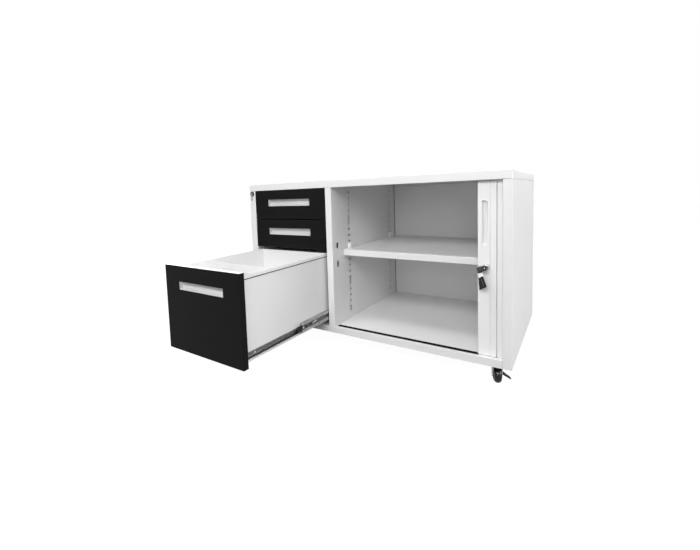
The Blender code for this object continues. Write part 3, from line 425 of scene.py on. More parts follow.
def dress(node, radius, segments=2, material=None):
    """The usual way: a merged copy with rounded edges in the finish of its slot."""
    item = round_edges(merged_copy(node, f"{node}_made"), radius, segments)
    return stand_in(item, material or FINISH[SLOT_OF[node]], node)


# %% [markdown]
# Two more helpers make new shapes: one spins a profile about an axis, as a lathe does, and one pushes an
# outline out to a thickness, as an extruder does.

# %% Helpers for new shapes
FULL_ROUND = 0.499
TIGHT_CURVE = 5
WIDE_CURVE = 10
FEW_SIDES = 16
SOME_SIDES = 32
MANY_SIDES = 64


def turned(profile, place, axis, steps):
    """Spin (radius, height) points about an axis that starts at place. A radius of zero closes an end."""
    bm = bmesh.new()
    points = [bm.verts.new((radius, 0.0, height)) for radius, height in profile]
    edges = [bm.edges.new(pair) for pair in zip(points, points[1:])]
    bmesh.ops.spin(bm, geom=points + edges, cent=(0, 0, 0), axis=(0, 0, 1), dvec=(0, 0, 0),
                   angle=2 * math.pi, steps=steps)
    bmesh.ops.remove_doubles(bm, verts=bm.verts, dist=MERGE)
    bmesh.ops.dissolve_degenerate(bm, edges=bm.edges, dist=MERGE)
    bm.transform(Matrix.Translation(place) @ Vector(axis).to_track_quat("Z", "Y").to_matrix().to_4x4())
    return bm


def extruded(outline, depth, matrix):
    """Push a flat outline up its own Z by a depth, then set it in place."""
    bm = bmesh.new()
    face = bm.faces.new([bm.verts.new((x, y, 0.0)) for x, y in outline])
    pushed = bmesh.ops.extrude_face_region(bm, geom=[face])["geom"]
    bmesh.ops.translate(bm, verts=[part for part in pushed if isinstance(part, bmesh.types.BMVert)],
                        vec=(0.0, 0.0, depth))
    bm.transform(matrix)
    return bm


def arc(centre, radius, start, end, steps):
    """Points on an arc, with its angles in degrees."""
    turns = [math.radians(start + (end - start) * step / steps) for step in range(steps + 1)]
    return [(centre[0] + radius * math.cos(turn), centre[1] + radius * math.sin(turn)) for turn in turns]


def oblong(left, low, right, high):
    """The outline of a plain rectangle."""
    return [(left, low), (right, low), (right, high), (left, high)]


def rod(radius, length):
    """The profile of a plain rod, for turning."""
    return [(0.0, 0.0), (radius, 0.0), (radius, length), (0.0, length)]


def rounded(width, height, radius, steps=4):
    """The outline of a rectangle with rounded corners, about its middle."""
    across, up = width / 2 - radius, height / 2 - radius
    corners = ((across, up, 0), (-across, up, 90), (-across, -up, 180), (across, -up, 270))
    return [point for x, y, turn in corners for point in arc((x, y), radius, turn, turn + 90, steps)]


def joined(name, *shapes):
    """One piece of several bmesh shapes that touch."""
    whole = bmesh.new()
    for shape in shapes:
        face_outwards(shape)
        part = bpy.data.meshes.new("part")
        shape.to_mesh(part)
        shape.free()
        whole.from_mesh(part)
        bpy.data.meshes.remove(part)
    mesh = bpy.data.meshes.new(name)
    whole.to_mesh(mesh)
    whole.free()
    return put_in_scene(name, mesh)


def edge_on(outline_x, outline_y, place):
    """A matrix that lays an outline's X and Y along two directions, from a place."""
    side, up = Vector(outline_x).normalized(), Vector(outline_y).normalized()
    turn = Matrix((side, up, side.cross(up))).transposed().to_4x4()
    return Matrix.Translation(place) @ turn


# %% [markdown]
# ## Repeats
#
# Screws, rivets, pegs and holes are one shape on many points. A small Geometry Nodes tree puts a shape on
# each point of a mesh, makes the copies real and gives them their finish. A second tree lays out a row of
# slats from a count and a step, so the shutter's pitch is one number.

# %% Trees for repeats
def new_tree(name, **inputs):
    """An empty Geometry Nodes tree with named inputs. Returns the tree and its input sockets."""
    tree = bpy.data.node_groups.new(name, "GeometryNodeTree")
    for label, kind in inputs.items():
        tree.interface.new_socket(label, in_out="INPUT", socket_type=f"NodeSocket{kind}")
    tree.interface.new_socket("Geometry", in_out="OUTPUT", socket_type="NodeSocketGeometry")
    return tree, add_node(tree, "NodeGroupInput").outputs


def end_tree(tree, points, given):
    """Put the shape on the points, make the copies real, set their finish and close the tree."""
    shape = add_node(tree, "GeometryNodeObjectInfo", {"Object": given["Shape"]})
    copies = add_node(tree, "GeometryNodeInstanceOnPoints", {"Points": points,
                                                            "Instance": shape.outputs["Geometry"]})
    real = add_node(tree, "GeometryNodeRealizeInstances", {"Geometry": copies.outputs["Instances"]})
    finish = add_node(tree, "GeometryNodeSetMaterial", {"Geometry": real.outputs["Geometry"],
                                                        "Material": given["Finish"]})
    add_node(tree, "NodeGroupOutput", {"Geometry": finish.outputs["Geometry"]})


POINT_TREE, given = new_tree("shape_on_points", Points="Geometry", Shape="Object", Finish="Material")
end_tree(POINT_TREE, given["Points"], given)
ROW_TREE, given = new_tree("row_of_slats", Points="Geometry", Shape="Object", Finish="Material", Count="Int",
                           Step="Vector")
spread = {"Count": given["Count"], "Offset": given["Step"]}
row = add_node(ROW_TREE, "GeometryNodeMeshLine", spread, mode="OFFSET")
end_tree(ROW_TREE, row.outputs["Mesh"], given)


def run_tree(tree, name, points, shape, finish, **inputs):
    """Run a tree on points and a shape, keep the mesh that it makes and remove the shape."""
    mesh = bpy.data.meshes.new(name)
    mesh.from_pydata(points, [], [])
    item = put_in_scene(name, mesh)
    inputs.update(Shape=shape, Finish=finish)
    modifier = item.modifiers.new(tree.name, "NODES")
    modifier.node_group = tree
    for socket in tree.interface.items_tree:
        if socket.in_out == "INPUT" and socket.name in inputs:
            modifier[socket.identifier] = inputs[socket.name]
    settle(item)
    bpy.data.objects.remove(shape)
    return item


print("trees", POINT_TREE.name, ROW_TREE.name)

# %% [markdown]
# ## Carcass
#
# Folded sheet has edges of a few tenths of a millimetre. The top is a tray that sits on the sides, and
# the thin line under its rim is the joint between the two. The panels keep the solids' shapes, so they
# are only dressed. A strip of dark steel is painted shade in the corner between the back and the divider.

# %% Panels
SHADE_STRIP = (0.0022, 0.0006)
for node in ("top_panel", "left_side_panel", "right_side_panel", "back_panel", "base_panel", "shelf"):
    dress(node, SHEET_EDGE)
corner_x, back_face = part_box("divider_panel")[1].x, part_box("back_panel")[0].y
# A thin dark strip up the corner between the back and the divider: painted shade.
outline = oblong(corner_x, back_face - SHADE_STRIP[1], corner_x + SHADE_STRIP[0], back_face)
deck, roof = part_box("base_panel")[1].z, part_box("shutter_front_slat")[1].z
corner_shade = new_piece("back_seam", extruded(outline, roof - deck, Matrix.Translation((0.0, 0.0, deck))))
hang(corner_shade, PAINTED_SHADE_STEEL, "cabinet", SLOT_OF["back_panel"])
print("panels dressed")

# %% [markdown]
# ### Shelf holes and strike slots
#
# The divider and the liner opposite it carry two columns of punched holes, 25 mm apart, with an extra
# hole halfway at three heights. The divider has two taller slots as well, which take the tongues of the
# shutter's bolt. The working model has them coarse. Here a tree sets one punch on every place and a
# Boolean takes the punches out of the sheet. The sides and floors of the holes are painted dark steel:
# painted shade for the dark inside of each hole.

# %% Shelf holes and strike slots
HOLE = (0.0140, 0.0068)
STRIKE = (0.0125, 0.0225)
HOLE_PITCH = 0.025
HOLE_COUNT = 20
FIRST_HOLE = 0.1375
HALFWAY = (0, 5, 15)
COLUMNS = (0.128, 0.522)
TONGUE = 0.016
PUNCH_CORNER = 0.0024
PUNCH_REACH = 0.006
PUNCH_EDGE = 0.0003
EDGE_TURN = 0.3
cabinet_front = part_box("left_side_panel")[0].y
heights = [FIRST_HOLE + HOLE_PITCH * row for row in range(HOLE_COUNT)]
heights += [FIRST_HOLE + HOLE_PITCH * (row - 0.5) for row in HALFWAY]
holes = [(cabinet_front + column, height) for column in COLUMNS for height in heights]
bolt_low, bolt_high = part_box("shutter_bolt")
strike_y = (bolt_low.y + bolt_high.y) / 2
strikes = [(strike_y, bolt_low.z + TONGUE / 2), (strike_y, bolt_high.z - TONGUE / 2)]


def punch(size):
    """A punch with rounded corners that points along X."""
    along = edge_on((0, 1, 0), (0, 0, 1), (-PUNCH_REACH, 0, 0))
    return new_piece("punch", extruded(rounded(*size, PUNCH_CORNER), 2 * PUNCH_REACH, along))


def punched(node, *rows):
    """A dressed sheet with rows of punched places, whose sides and floors are painted shade."""
    item = merged_copy(node, f"{node}_made")
    face_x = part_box(node)[1].x
    for places, size in rows:
        spots = [(face_x, *place) for place in places]
        cut(item, run_tree(POINT_TREE, "punches", spots, punch(size), PAINTED_SHADE_STEEL))
    stand_in(round_edges(item, PUNCH_EDGE, 1), WHITE_COAT, node)
    centres = np.array([place for places, size in rows for place in places])

    # A face inside a hole, on its sides or its floor, gets the painted shade.
    def gets_hole_shade(face):
        corners = np.array([item.data.vertices[index].co for index in face.vertices])
        away = np.hypot(centres[:, :1] - corners[:, 1], centres[:, 1:] - corners[:, 2]).max(axis=1).min()
        sunk = PUNCH_EDGE < face_x - face.center.x < 2 * PUNCH_REACH
        return away < max(STRIKE) / 2 + 2 * PUNCH_EDGE and (sunk or abs(face.normal.x) < EDGE_TURN)
    paint(item, PAINTED_SHADE_STEEL, gets_hole_shade)


punched("divider_panel", (holes, HOLE), (strikes, STRIKE))
punched("cupboard_liner", (holes, HOLE))
print("shelf holes", 2 * len(holes), "strike slots", len(strikes))

# %% [markdown]
# ### Shelf clips
#
# Each clip is a white moulding with a peg in a hole of the column, a nose above the shelf and a foot
# below it. Its section is one outline, pushed along the depth of the cabinet.

# %% Shelf clips
PEG_RADIUS = 0.0024
PEG_LENGTH = 0.0050
CLIP_WALL = 0.0012
NOSE_BEVEL = 0.0030
SEAT = 0.0003
CLIP_SPREAD = 0.0030
shelf_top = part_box("shelf")[1].z
peg_height = min(height for height in heights if height > shelf_top)


def shelf_clip(node, way):
    low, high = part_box(node)
    wall = low.x + PEG_LENGTH if way > 0 else high.x - PEG_LENGTH
    reach = high.x - low.x - PEG_LENGTH
    outline = [(0.0, high.z), (reach - NOSE_BEVEL, high.z), (reach, high.z - NOSE_BEVEL),
               (reach, shelf_top + SEAT), (CLIP_WALL, shelf_top + SEAT), (CLIP_WALL, low.z + CLIP_WALL),
               (reach, low.z + CLIP_WALL), (reach, low.z), (0.0, low.z)]
    start = high.y + CLIP_SPREAD if way > 0 else low.y - CLIP_SPREAD
    across = high.y - low.y + 2 * CLIP_SPREAD
    strap = extruded(outline, across, edge_on((way, 0, 0), (0, 0, 1), (wall, start, 0.0)))
    middle = (wall, (low.y + high.y) / 2, peg_height)
    peg = turned(rod(PEG_RADIUS, PEG_LENGTH), middle, (-way, 0, 0), FEW_SIDES)
    item = round_edges(joined(f"{node}_made", strap, peg), SHEET_EDGE)
    stand_in(item, CUP_PLASTIC, node)


for column in ("front", "rear"):
    shelf_clip(f"shelf_clip_left_{column}", 1)
    shelf_clip(f"shelf_clip_right_{column}", -1)

# %% [markdown]
# ### Tracks
#
# The tracks are black mouldings, let into the deck and the top. A lip lies on the deck at each side of
# the slot, from the divider to the place where the open shutter rests, and a screw holds the end by the
# divider: together they show as a black band.

# %% Tracks
LIP_WIDTHS = (0.0062, 0.0026)
LIP_THICKNESS = 0.0005
SLOT_PLAY = 0.0004
LIP_START = 0.0045
LIP_TUCK = 0.0040
SCREW_RADIUS = 0.0018
SCREW_TAPER = 0.8
for node in ("shutter_track_top", "shutter_track_bottom"):
    dress(node, HAIR_EDGE)
track_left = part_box("shutter_track_bottom")[0].x
slot_low, slot_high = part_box("shutter_front_slat")
rail_low, rail_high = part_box("shutter_lead_rail")
lip_end = rail_low.x + LIP_TUCK
lips = []
for start, width in zip((rail_low.y - SLOT_PLAY - LIP_WIDTHS[0], rail_high.y + SLOT_PLAY), LIP_WIDTHS):
    outline = oblong(track_left + LIP_START, start, lip_end, start + width)
    lips.append(extruded(outline, LIP_THICKNESS, Matrix.Translation((0.0, 0.0, deck))))
head = [(0.0, 0.0), (SCREW_RADIUS, 0.0), (SCREW_RADIUS * SCREW_TAPER, LIP_THICKNESS), (0.0, LIP_THICKNESS)]
screw_y = rail_low.y - SLOT_PLAY - SCREW_RADIUS
lips.append(turned(head, (track_left + SCREW_RADIUS, screw_y, deck), (0, 0, 1), FEW_SIDES))
item = joined("shutter_track_lips", *lips)
hang(item, BLACK_PLASTIC, "cabinet", SLOT_OF["shutter_track_bottom"])

# %% [markdown]
# ## Roller shutter
#
# The shutter is a curtain of stiff slats on living hinges. Pushed open it runs round the corner and back
# along the right side. In the working model it can only slide, so the slats that come out of the pocket
# are one mesh, drawn up tight behind the right stile as when the shutter is open. Each point's place when
# shut is known, and its place when open is solved from a blend curve.

# %% Slats
SLAT_PITCH = 0.018
SLAT_GAP = 0.0001
GROOVE = 0.0010
GROOVE_DEPTH = 0.0007
BLEND_INSETS = (0.0015, 0.0120)
BLEND_SAMPLES = 4001
curtain_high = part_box("shutter_curtain")[1]
travel = JOINTS["shutter_slide"]["range_m"][1]
first_edge = (slot_low.x + slot_high.x) / 2 + SLAT_PITCH / 2
half = (slot_high.y - slot_low.y) / 2
slat_y = (slot_high.y + slot_low.y) / 2


def slat(name, along, outwards, place, trim=0.0):
    """One slat with a shallow V groove at each side, set upright from the lower track to the upper."""
    left, right = SLAT_GAP, SLAT_PITCH - SLAT_GAP - trim
    flank = half - GROOVE_DEPTH
    outline = [(left, -flank), (left + GROOVE, -half), (right - GROOVE, -half), (right, -flank),
               (right, flank), (right - GROOVE, half), (left + GROOVE, half), (left, flank)]
    upright = edge_on(along, outwards, place)
    return new_piece(name, extruded(outline, slot_high.z - slot_low.z, upright))


piece = slat("slat", (1, 0, 0), (0, 1, 0), (0.0, slat_y, slot_low.z))
stile_low, stile_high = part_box("right_side_panel")
visible = int((stile_high.x - first_edge + travel) / SLAT_PITCH)
curtain = run_tree(ROW_TREE, "shutter_slats", [], piece, SLAT_PLASTIC, Count=visible,
                   Step=(SLAT_PITCH, 0.0, 0.0))
blend_start, blend_end = stile_high.x - BLEND_INSETS[0], stile_low.x + BLEND_INSETS[1]
samples = np.linspace(first_edge, blend_start, BLEND_SAMPLES)
share = np.clip((blend_start - samples) / (blend_start - blend_end), 0.0, 1.0)
shut_at = samples - travel * share * share * (3.0 - 2.0 * share)
for vertex in curtain.data.vertices:
    vertex.co.x = np.interp(vertex.co.x + first_edge - travel, shut_at, samples)
curtain.data.materials.clear()
curtain.data.materials.append(SLAT_PLASTIC)
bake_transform(curtain)
print("slats", visible)

# %% [markdown]
# The slats in the pocket behind the liner stay where they are. They are the same slat, turned a quarter
# turn, in a row along the right side.

# %% Slats in the pocket
POCKET_START = 0.030
pocket_x = curtain_high.x - half
pocket_front = slat_y + POCKET_START
stored = int((curtain_high.y - pocket_front) / SLAT_PITCH)
piece = slat("slat", (0, 1, 0), (-1, 0, 0), (pocket_x, pocket_front, slot_low.z))
row = run_tree(ROW_TREE, "shutter_slats_stored", [], piece, SLAT_PLASTIC, Count=stored,
               Step=(0.0, SLAT_PITCH, 0.0))
hang(row, SLAT_PLASTIC, "cabinet", SLOT_OF["shutter_curtain"], "shutter_curtain")
print("stored slats", stored)

# %% [markdown]
# ### Front slat, lead rail and finger cup
#
# The front slat is one more slat, and a thin strip of soft plastic hinges it to the lead rail, which is a
# wider extrusion. The finger cup in the rail is a moulding with a thin flange. Its hollow runs in under
# the left rim, for fingertips to pull on, and eases out to the right and to both ends. Three outlines
# seen along three axes give that shape: the hollow is what they have in common, and it is cut out of the
# moulding and the rail alike.

# %% Lead rail and finger cup
SLAT_TRIM = 0.0014
CUP_STEPS = 8
CUP_WALL = 0.0009
CUP_FLOOR = 0.0108
CUP_UNDERCUT = 0.0040
CUP_LIP = 0.0012
CUP_FLANGE = 0.0012
CUP_RAMP = 0.0150
CUP_PROUD = 0.0005
NEAR_CORNER = 0.0030
FAR_CORNER = 0.0115
HINGE_BACK = 0.0015
HINGE_REACH = 0.0020
HINGE_SHEET = 0.0008
PAST = 0.0020
place = (first_edge - SLAT_PITCH, slat_y, slot_low.z)
piece = slat("shutter_front_slat_made", (1, 0, 0), (0, 1, 0), place, SLAT_TRIM)
stand_in(piece, SLAT_PLASTIC, "shutter_front_slat")
hinge_y = slot_low.y + HINGE_BACK
outline = oblong(rail_high.x - HINGE_REACH, hinge_y, slot_low.x + HINGE_REACH, hinge_y + HINGE_SHEET)
strip = extruded(outline, slot_high.z - slot_low.z, Matrix.Translation((0.0, 0.0, slot_low.z)))
strip = new_piece("shutter_hinge_strip", strip)
hang(strip, SLAT_PLASTIC, "shutter", SLOT_OF["shutter_front_slat"])
dress("shutter_bolt", FINE_EDGE)
cup_low, cup_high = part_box("shutter_pull")
cup_width, cup_length = cup_high.x - cup_low.x, cup_high.z - cup_low.z
cup_middle = ((cup_low.x + cup_high.x) / 2, cup_low.y, (cup_low.z + cup_high.z) / 2)
facing_front = edge_on((1, 0, 0), (0, 0, 1), cup_middle)
mouth, reach = cup_width / 2 - CUP_WALL, cup_length / 2 - CUP_WALL
quarter = arc((0.0, 0.0), 1.0, 0, 90, CUP_STEPS)
under = mouth + CUP_UNDERCUT
section = [(-mouth, -PAST), (mouth, -PAST)]
section += [((mouth + under) * x - under, CUP_FLOOR * y) for x, y in quarter]
section += [(-under, CUP_LIP), (-mouth, CUP_LIP)]
ramp = [(reach - CUP_RAMP * (1 - x), (CUP_FLOOR + PAST) * y) for x, y in quarter]
ramps = [(-reach, -PAST), (reach, -PAST)] + ramp + [(-z, depth) for z, depth in reversed(ramp)]
near_x, near_z = NEAR_CORNER - under, reach - NEAR_CORNER
far_x, far_z = mouth - FAR_CORNER, reach - FAR_CORNER
outline = arc((far_x, -far_z), FAR_CORNER, -90, 0, WIDE_CURVE)
outline += arc((far_x, far_z), FAR_CORNER, 0, 90, WIDE_CURVE)
outline += arc((near_x, near_z), NEAR_CORNER, 90, 180, TIGHT_CURVE)
outline += arc((near_x, -near_z), NEAR_CORNER, 180, 270, TIGHT_CURVE)


def cup_hollow():
    """What is hollow: a section along the cup, ramps at its ends, and the outline of its mouth."""
    along = edge_on((1, 0, 0), (0, 1, 0), (cup_middle[0], cup_low.y, cup_low.z))
    across = edge_on((0, 0, 1), (0, 1, 0), (cup_high.x, cup_low.y, cup_middle[2]))
    behind = facing_front @ Matrix.Translation((0.0, 0.0, -CUP_FLOOR - PAST))
    hollow = new_piece("hollow", extruded(section, cup_length, along))
    cut(hollow, new_piece("ramps", extruded(ramps, cup_width + CUP_UNDERCUT, across)), "INTERSECT")
    return cut(hollow, new_piece("mouth", extruded(outline, CUP_FLOOR + 3 * PAST, behind)), "INTERSECT")


rail = cut(merged_copy("shutter_lead_rail", "shutter_lead_rail_made"), cup_hollow())
stand_in(round_edges(rail, ROLLED_EDGE, 3), SLAT_PLASTIC, "shutter_lead_rail")
cup_depth, flange_width = cup_high.y - cup_low.y, cup_width + 2 * CUP_FLANGE
slot = rounded(flange_width, cup_length + 2 * CUP_FLANGE, flange_width * FULL_ROUND, WIDE_CURVE)
body = extruded(slot, CUP_PROUD + cup_depth, facing_front @ Matrix.Translation((0.0, 0.0, -cup_depth)))
cup = cut(new_piece("shutter_pull_made", body), cup_hollow())
stand_in(round_edges(cup, FINE_EDGE, 3), CUP_PLASTIC, "shutter_pull")

# %% [markdown]
# ## Drawers
#
# Each drawer has a black front skin with its sides folded back, and a white moulding behind its window to
# pull it by, drawn pale grey as painted shade. The moulding is a scoop: its floor starts flush at the
# window's lower edge, bends inwards and ends in a pocket above the window's upper edge, where the fingers
# find their hold and where little light gets in. The upper and lower drawers' boxes are painted black at
# their front fold, as painted shade in the gaps between the fronts. Under the hem of the file drawer's box
# a thin dark strip of steel is painted shadow: the shade that falls under the hem.

# %% Drawer fronts and boxes
PULL_FLANGE = 0.006
PULL_DEPTH = 0.0165
PULL_WALL = 0.001
PULL_POCKET = 0.0050
PULL_LIP = 0.0015
PULL_BACK = 0.010
PULL_FILLET = 0.0025
CURVE_STEPS = 10
FRONT_FOLD = 0.021
REAR_ZONE = 0.1
HEM_HEIGHT = 0.010
# The size of the painted shadow strip under the hem.
HEM_SHADOW_LINE = (0.0012, 0.0030)


def scooped_pull(node):
    low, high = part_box(node)
    floor, roof = low.z + PULL_FLANGE, high.z - PULL_FLANGE
    depth = PULL_DEPTH - PULL_WALL
    corners = ((0.0, floor), (depth, floor + PULL_LIP), (depth, floor + PULL_BACK))
    start, bend, end = (Vector(corner) for corner in corners)
    steps = [step / CURVE_STEPS for step in range(CURVE_STEPS + 1)]
    curve = [tuple(start * (1 - t) ** 2 + bend * 2 * t * (1 - t) + end * t * t) for t in steps]
    section = [(-PAST, floor)] + curve + [(depth, roof + PULL_POCKET), (PULL_LIP, roof + PULL_POCKET),
                                          (PULL_LIP, roof), (-PAST, roof)]
    across = edge_on((0, 1, 0), (0, 0, 1), (low.x + PULL_FLANGE, low.y, 0.0))
    scoop = new_piece("scoop", extruded(section, high.x - low.x - 2 * PULL_FLANGE, across))
    backwards = edge_on((1, 0, 0), (0, 0, 1), (0.0, low.y + PULL_DEPTH, 0.0))
    block = new_piece(f"{node}_made", extruded(oblong(low.x, low.z, high.x, high.z), PULL_DEPTH, backwards))
    item = round_edges(cut(block, round_edges(scoop, PULL_FILLET, 4)), FINE_EDGE)
    stand_in(item, SHADED_PULL_PLASTIC, node)


for label in ("upper", "lower", "file"):
    dress(f"{label}_drawer_front", SKIN_EDGE, 3)
    box = dress(f"{label}_drawer_box", SHEET_EDGE)
    if label != "file":
        # Where the box's front fold shows between the fronts it is painted black: painted shade in the gap.
        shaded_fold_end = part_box(f"{label}_drawer_front")[0].y + FRONT_FOLD
        paint(box, BLACK_COAT, lambda face: face.center.y < shaded_fold_end)
    scooped_pull(f"{label}_drawer_pull")
box_low, box_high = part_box("file_drawer_box")
rear = [point.co.z for point in NODES["file_drawer_box"].data.vertices if point.co.y > box_high.y - REAR_ZONE]
for hand, way in (("left", -1), ("right", 1)):
    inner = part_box(f"file_slide_inner_{hand}")
    face_x = inner[0].x if way > 0 else inner[1].x
    start = box_high.y if way > 0 else box_low.y + FRONT_FOLD
    # A thin dark strip along each side under the hem is painted shadow.
    shadow_line_low = max(rear) - HEM_HEIGHT - HEM_SHADOW_LINE[1]
    along = edge_on((way, 0, 0), (0, 0, 1), (face_x, start, shadow_line_low))
    fold = extruded(oblong(0.0, 0.0, *HEM_SHADOW_LINE), box_high.y - box_low.y - FRONT_FOLD, along)
    hang(new_piece(f"file_drawer_fold_{hand}", fold), PAINTED_SHADE_STEEL, "file_drawer", SLOT_OF["file_drawer_box"])
print("drawers dressed")

# %% [markdown]
# ### Slides
#
# The slides are rolled from plated strip. The file drawer's middle members show when it is open: two
# rolled grooves stiffen them, and a row of cut-outs lets the assembler reach the screws. A black stop
# leads each middle member, a small bent lever lets the drawer off its slides, and white rivets hold the
# inner members to the box.

# %% Slides
GROOVES = (0.0088, -0.0088)
GROOVE_HALF = 0.0014
GROOVE_SINK = 0.0005
SLIDE_WEB = 0.0012
SLIDE_RACE = 0.0040
INNER_HEIGHT = 0.0184
INNER_RACE = 0.0022
BEAD = 0.0062
BEAD_HALF = 0.0010
slides = [node for node in sorted(NODES)
          if "_slide_outer" in node or "_slide_" in node and "file" not in node]
for node in slides:
    dress(node, ROLLED_EDGE)


def side_band(level, half_height):
    """A test for faces that look sideways and lie within a band of heights."""
    return lambda face: abs(face.center.z - level) < half_height and abs(face.normal.x) > EDGE_TURN


def middle_member(node, way):
    """A channel along Y with its web at the wall, two rolled grooves in it and its mouth to the drawer."""
    low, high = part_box(node)
    rise, width = (high.z - low.z) / 2, high.x - low.x
    web = [(0.0, rise)]
    for groove in GROOVES:
        web += [(0.0, groove + GROOVE_HALF), (GROOVE_SINK, groove + GROOVE_HALF / 2),
                (GROOVE_SINK, groove - GROOVE_HALF / 2), (0.0, groove - GROOVE_HALF)]
    outline = web + [(0.0, -rise), (width, -rise), (width, SLIDE_RACE - rise), (SLIDE_WEB, SLIDE_RACE - rise),
                     (SLIDE_WEB, rise - SLIDE_RACE), (width, rise - SLIDE_RACE), (width, rise)]
    wall = low.x if way > 0 else high.x
    start = high.y if way > 0 else low.y
    along = edge_on((way, 0, 0), (0, 0, 1), (wall, start, (low.z + high.z) / 2))
    return new_piece(f"{node}_made", extruded(outline, high.y - low.y, along))


def inner_member(node, outward):
    """A low channel along Y in painted shade, web on the drawer's side, with a painted-highlight bead along
    its lower third.
    """
    low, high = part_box(node)
    width = high.x - low.x
    upper = INNER_HEIGHT - INNER_RACE
    outline = [(0.0, 0.0), (width, 0.0), (width, INNER_RACE), (SLIDE_WEB, INNER_RACE),
               (SLIDE_WEB, BEAD - BEAD_HALF), (SLIDE_WEB + BEAD_HALF, BEAD), (SLIDE_WEB, BEAD + BEAD_HALF),
               (SLIDE_WEB, upper), (width, upper), (width, INNER_HEIGHT), (0.0, INNER_HEIGHT)]
    place = (low.x, high.y, low.z) if outward > 0 else (high.x, low.y, low.z)
    channel = extruded(outline, high.y - low.y, edge_on((outward, 0, 0), (0, 0, 1), place))
    item = round_edges(new_piece(f"{node}_made", channel), ROLLED_EDGE / 2, 1)
    # The channel's dark zinc is painted shade; its bead in bright zinc is a painted highlight.
    stand_in(item, DARK_ZINC_AND_SHADE, node)
    paint(item, ZINC, side_band(low.z + BEAD, BEAD_HALF))


# %% [markdown]
# The cut-outs are one punch on a row of places, as in the divider. The small pieces sit on the members'
# faces and ride with them.

# %% Slide details
CUT_OUT = (0.0120, 0.0062)
CUT_OUTS = (0.0244, 0.0533, 0.1600, 0.2500)
WEB_HALF = 0.0080
STOP_LENGTH = 0.0280
STOP_HEIGHT = 0.0222
STOP_THICKNESS = 0.0022
STOP_CORNER = 0.0040
STUD_PLACE = 0.0085
STUD_RADIUS = 0.0034
LEVER = 0.0760
LEVER_SIZE = (0.0260, 0.0034)
LEVER_SLOPE = 0.12
LEVER_RISE = 0.0020
RIVET_RADIUS = 0.0043
RIVET_HEIGHT = 0.0024
RIVETS = (0.0360, 0.4140)
RIVET_LEVEL = 0.0115
RIVET_SIDES = 20
FACE_GAP = 0.0003


def dome(radius, height):
    """The profile of a low rivet head."""
    rise = arc((0.0, 0.0), 1.0, 0, 90, TIGHT_CURVE)
    return [(0.0, 0.0)] + [(radius * x, height * y) for x, y in rise[:-1]] + [(0.0, height)]


for hand, way in (("left", 1), ("right", -1)):
    node = f"file_slide_middle_{hand}"
    low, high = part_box(node)
    wall, level = (low.x if way > 0 else high.x), (low.z + high.z) / 2
    member = middle_member(node, way)
    places = [(wall, low.y + along, level) for along in CUT_OUTS]
    cut(member, run_tree(POINT_TREE, "cut_outs", places, punch(CUT_OUT), ZINC))
    stand_in(round_edges(member, ROLLED_EDGE / 2, 1), ZINC, node)
    paint(member, DARK_ZINC_AND_SHADE, side_band(level, WEB_HALF))
    outwards = (-way, 0, 0)
    flat = edge_on((0, 1, 0), (0, 0, 1), (wall, low.y - STOP_LENGTH / 2, level))
    inset = 0.0 if way > 0 else -STOP_THICKNESS
    plate = extruded(rounded(STOP_LENGTH, STOP_HEIGHT, STOP_CORNER), STOP_THICKNESS,
                     flat @ Matrix.Translation((0.0, 0.0, inset)))
    stop = round_edges(new_piece(f"file_slide_stop_{hand}", plate), SHEET_EDGE)
    hang(stop, BLACK_PLASTIC, "file_slide", "black_plastic")
    stud = turned(dome(STUD_RADIUS, FACE_GAP), (wall, low.y + STUD_PLACE, level), outwards, RIVET_SIDES)
    leaning = edge_on((0, 1, LEVER_SLOPE), (0, -LEVER_SLOPE, 1), (wall, low.y + LEVER, level + LEVER_RISE))
    thumb = extruded(rounded(*LEVER_SIZE, LEVER_SIZE[1] * FULL_ROUND), -way * FACE_GAP, leaning)
    hang(joined(f"file_slide_release_{hand}", stud, thumb), CUP_PLASTIC, "file_slide", SLOT_OF[node])
    inner_member(f"file_slide_inner_{hand}", -way)
    inner_low, inner_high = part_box(f"file_slide_inner_{hand}")
    seat_x = inner_high.x - SLIDE_WEB if way > 0 else inner_low.x + SLIDE_WEB
    rivet = new_piece("rivet", turned(dome(RIVET_RADIUS, RIVET_HEIGHT), (0, 0, 0), outwards, RIVET_SIDES))
    places = [(seat_x, inner_low.y + along, inner_low.z + RIVET_LEVEL) for along in RIVETS]
    rivets = run_tree(POINT_TREE, f"file_slide_rivets_{hand}", places, rivet, CUP_PLASTIC)
    hang(rivets, CUP_PLASTIC, "file_drawer", SLOT_OF["file_drawer_box"])
print("slides", len(slides) + 4)

# %% [markdown]
# ## Locks
#
# The shutter's lock is a chromed barrel with a dark moulded head. The key stays in it: a bright link
# hangs from the head on a pin, and carries a black bow. Head and bow hang a little askew in the
# photograph, so they are drawn in the frame of the key's own hinge. The drawers' lock is a plain black
# cam lock with a steel key.

# %% Shutter lock
barrel_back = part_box("shutter_lock_barrel")[1].y
lock_place = Vector(JOINTS["shutter_lock_turn"]["pos_m"])
BARREL = ((0.0059, 0.0), (0.0085, 0.0), (0.0085, 0.0178), (0.0095, 0.0181), (0.0095, 0.0262),
          (0.0091, 0.0278), (0.0083, 0.0290), (0.0072, 0.0297), (0.0059, 0.0297), (0.0059, 0.0))
barrel = turned(BARREL, (lock_place.x, barrel_back, lock_place.z), (0, -1, 0), MANY_SIDES)
ring = new_piece("shutter_lock_barrel_made", barrel)
ring.data.shade_smooth()
stand_in(ring, CHROME, "shutter_lock_barrel")
HEAD = (0.0298, 0.0160)
HEAD_CORNER = 0.0062
HEAD_STEPS = 6
HEAD_DEPTH = 0.0140
HEAD_EDGE = 0.0036
HEAD_SHIFT = -0.0091
STEM_RADIUS = 0.0056
fold = JOINTS["shutter_key_fold"]
hinge, side = Vector(fold["pos_m"]), -Vector(fold["axis"])
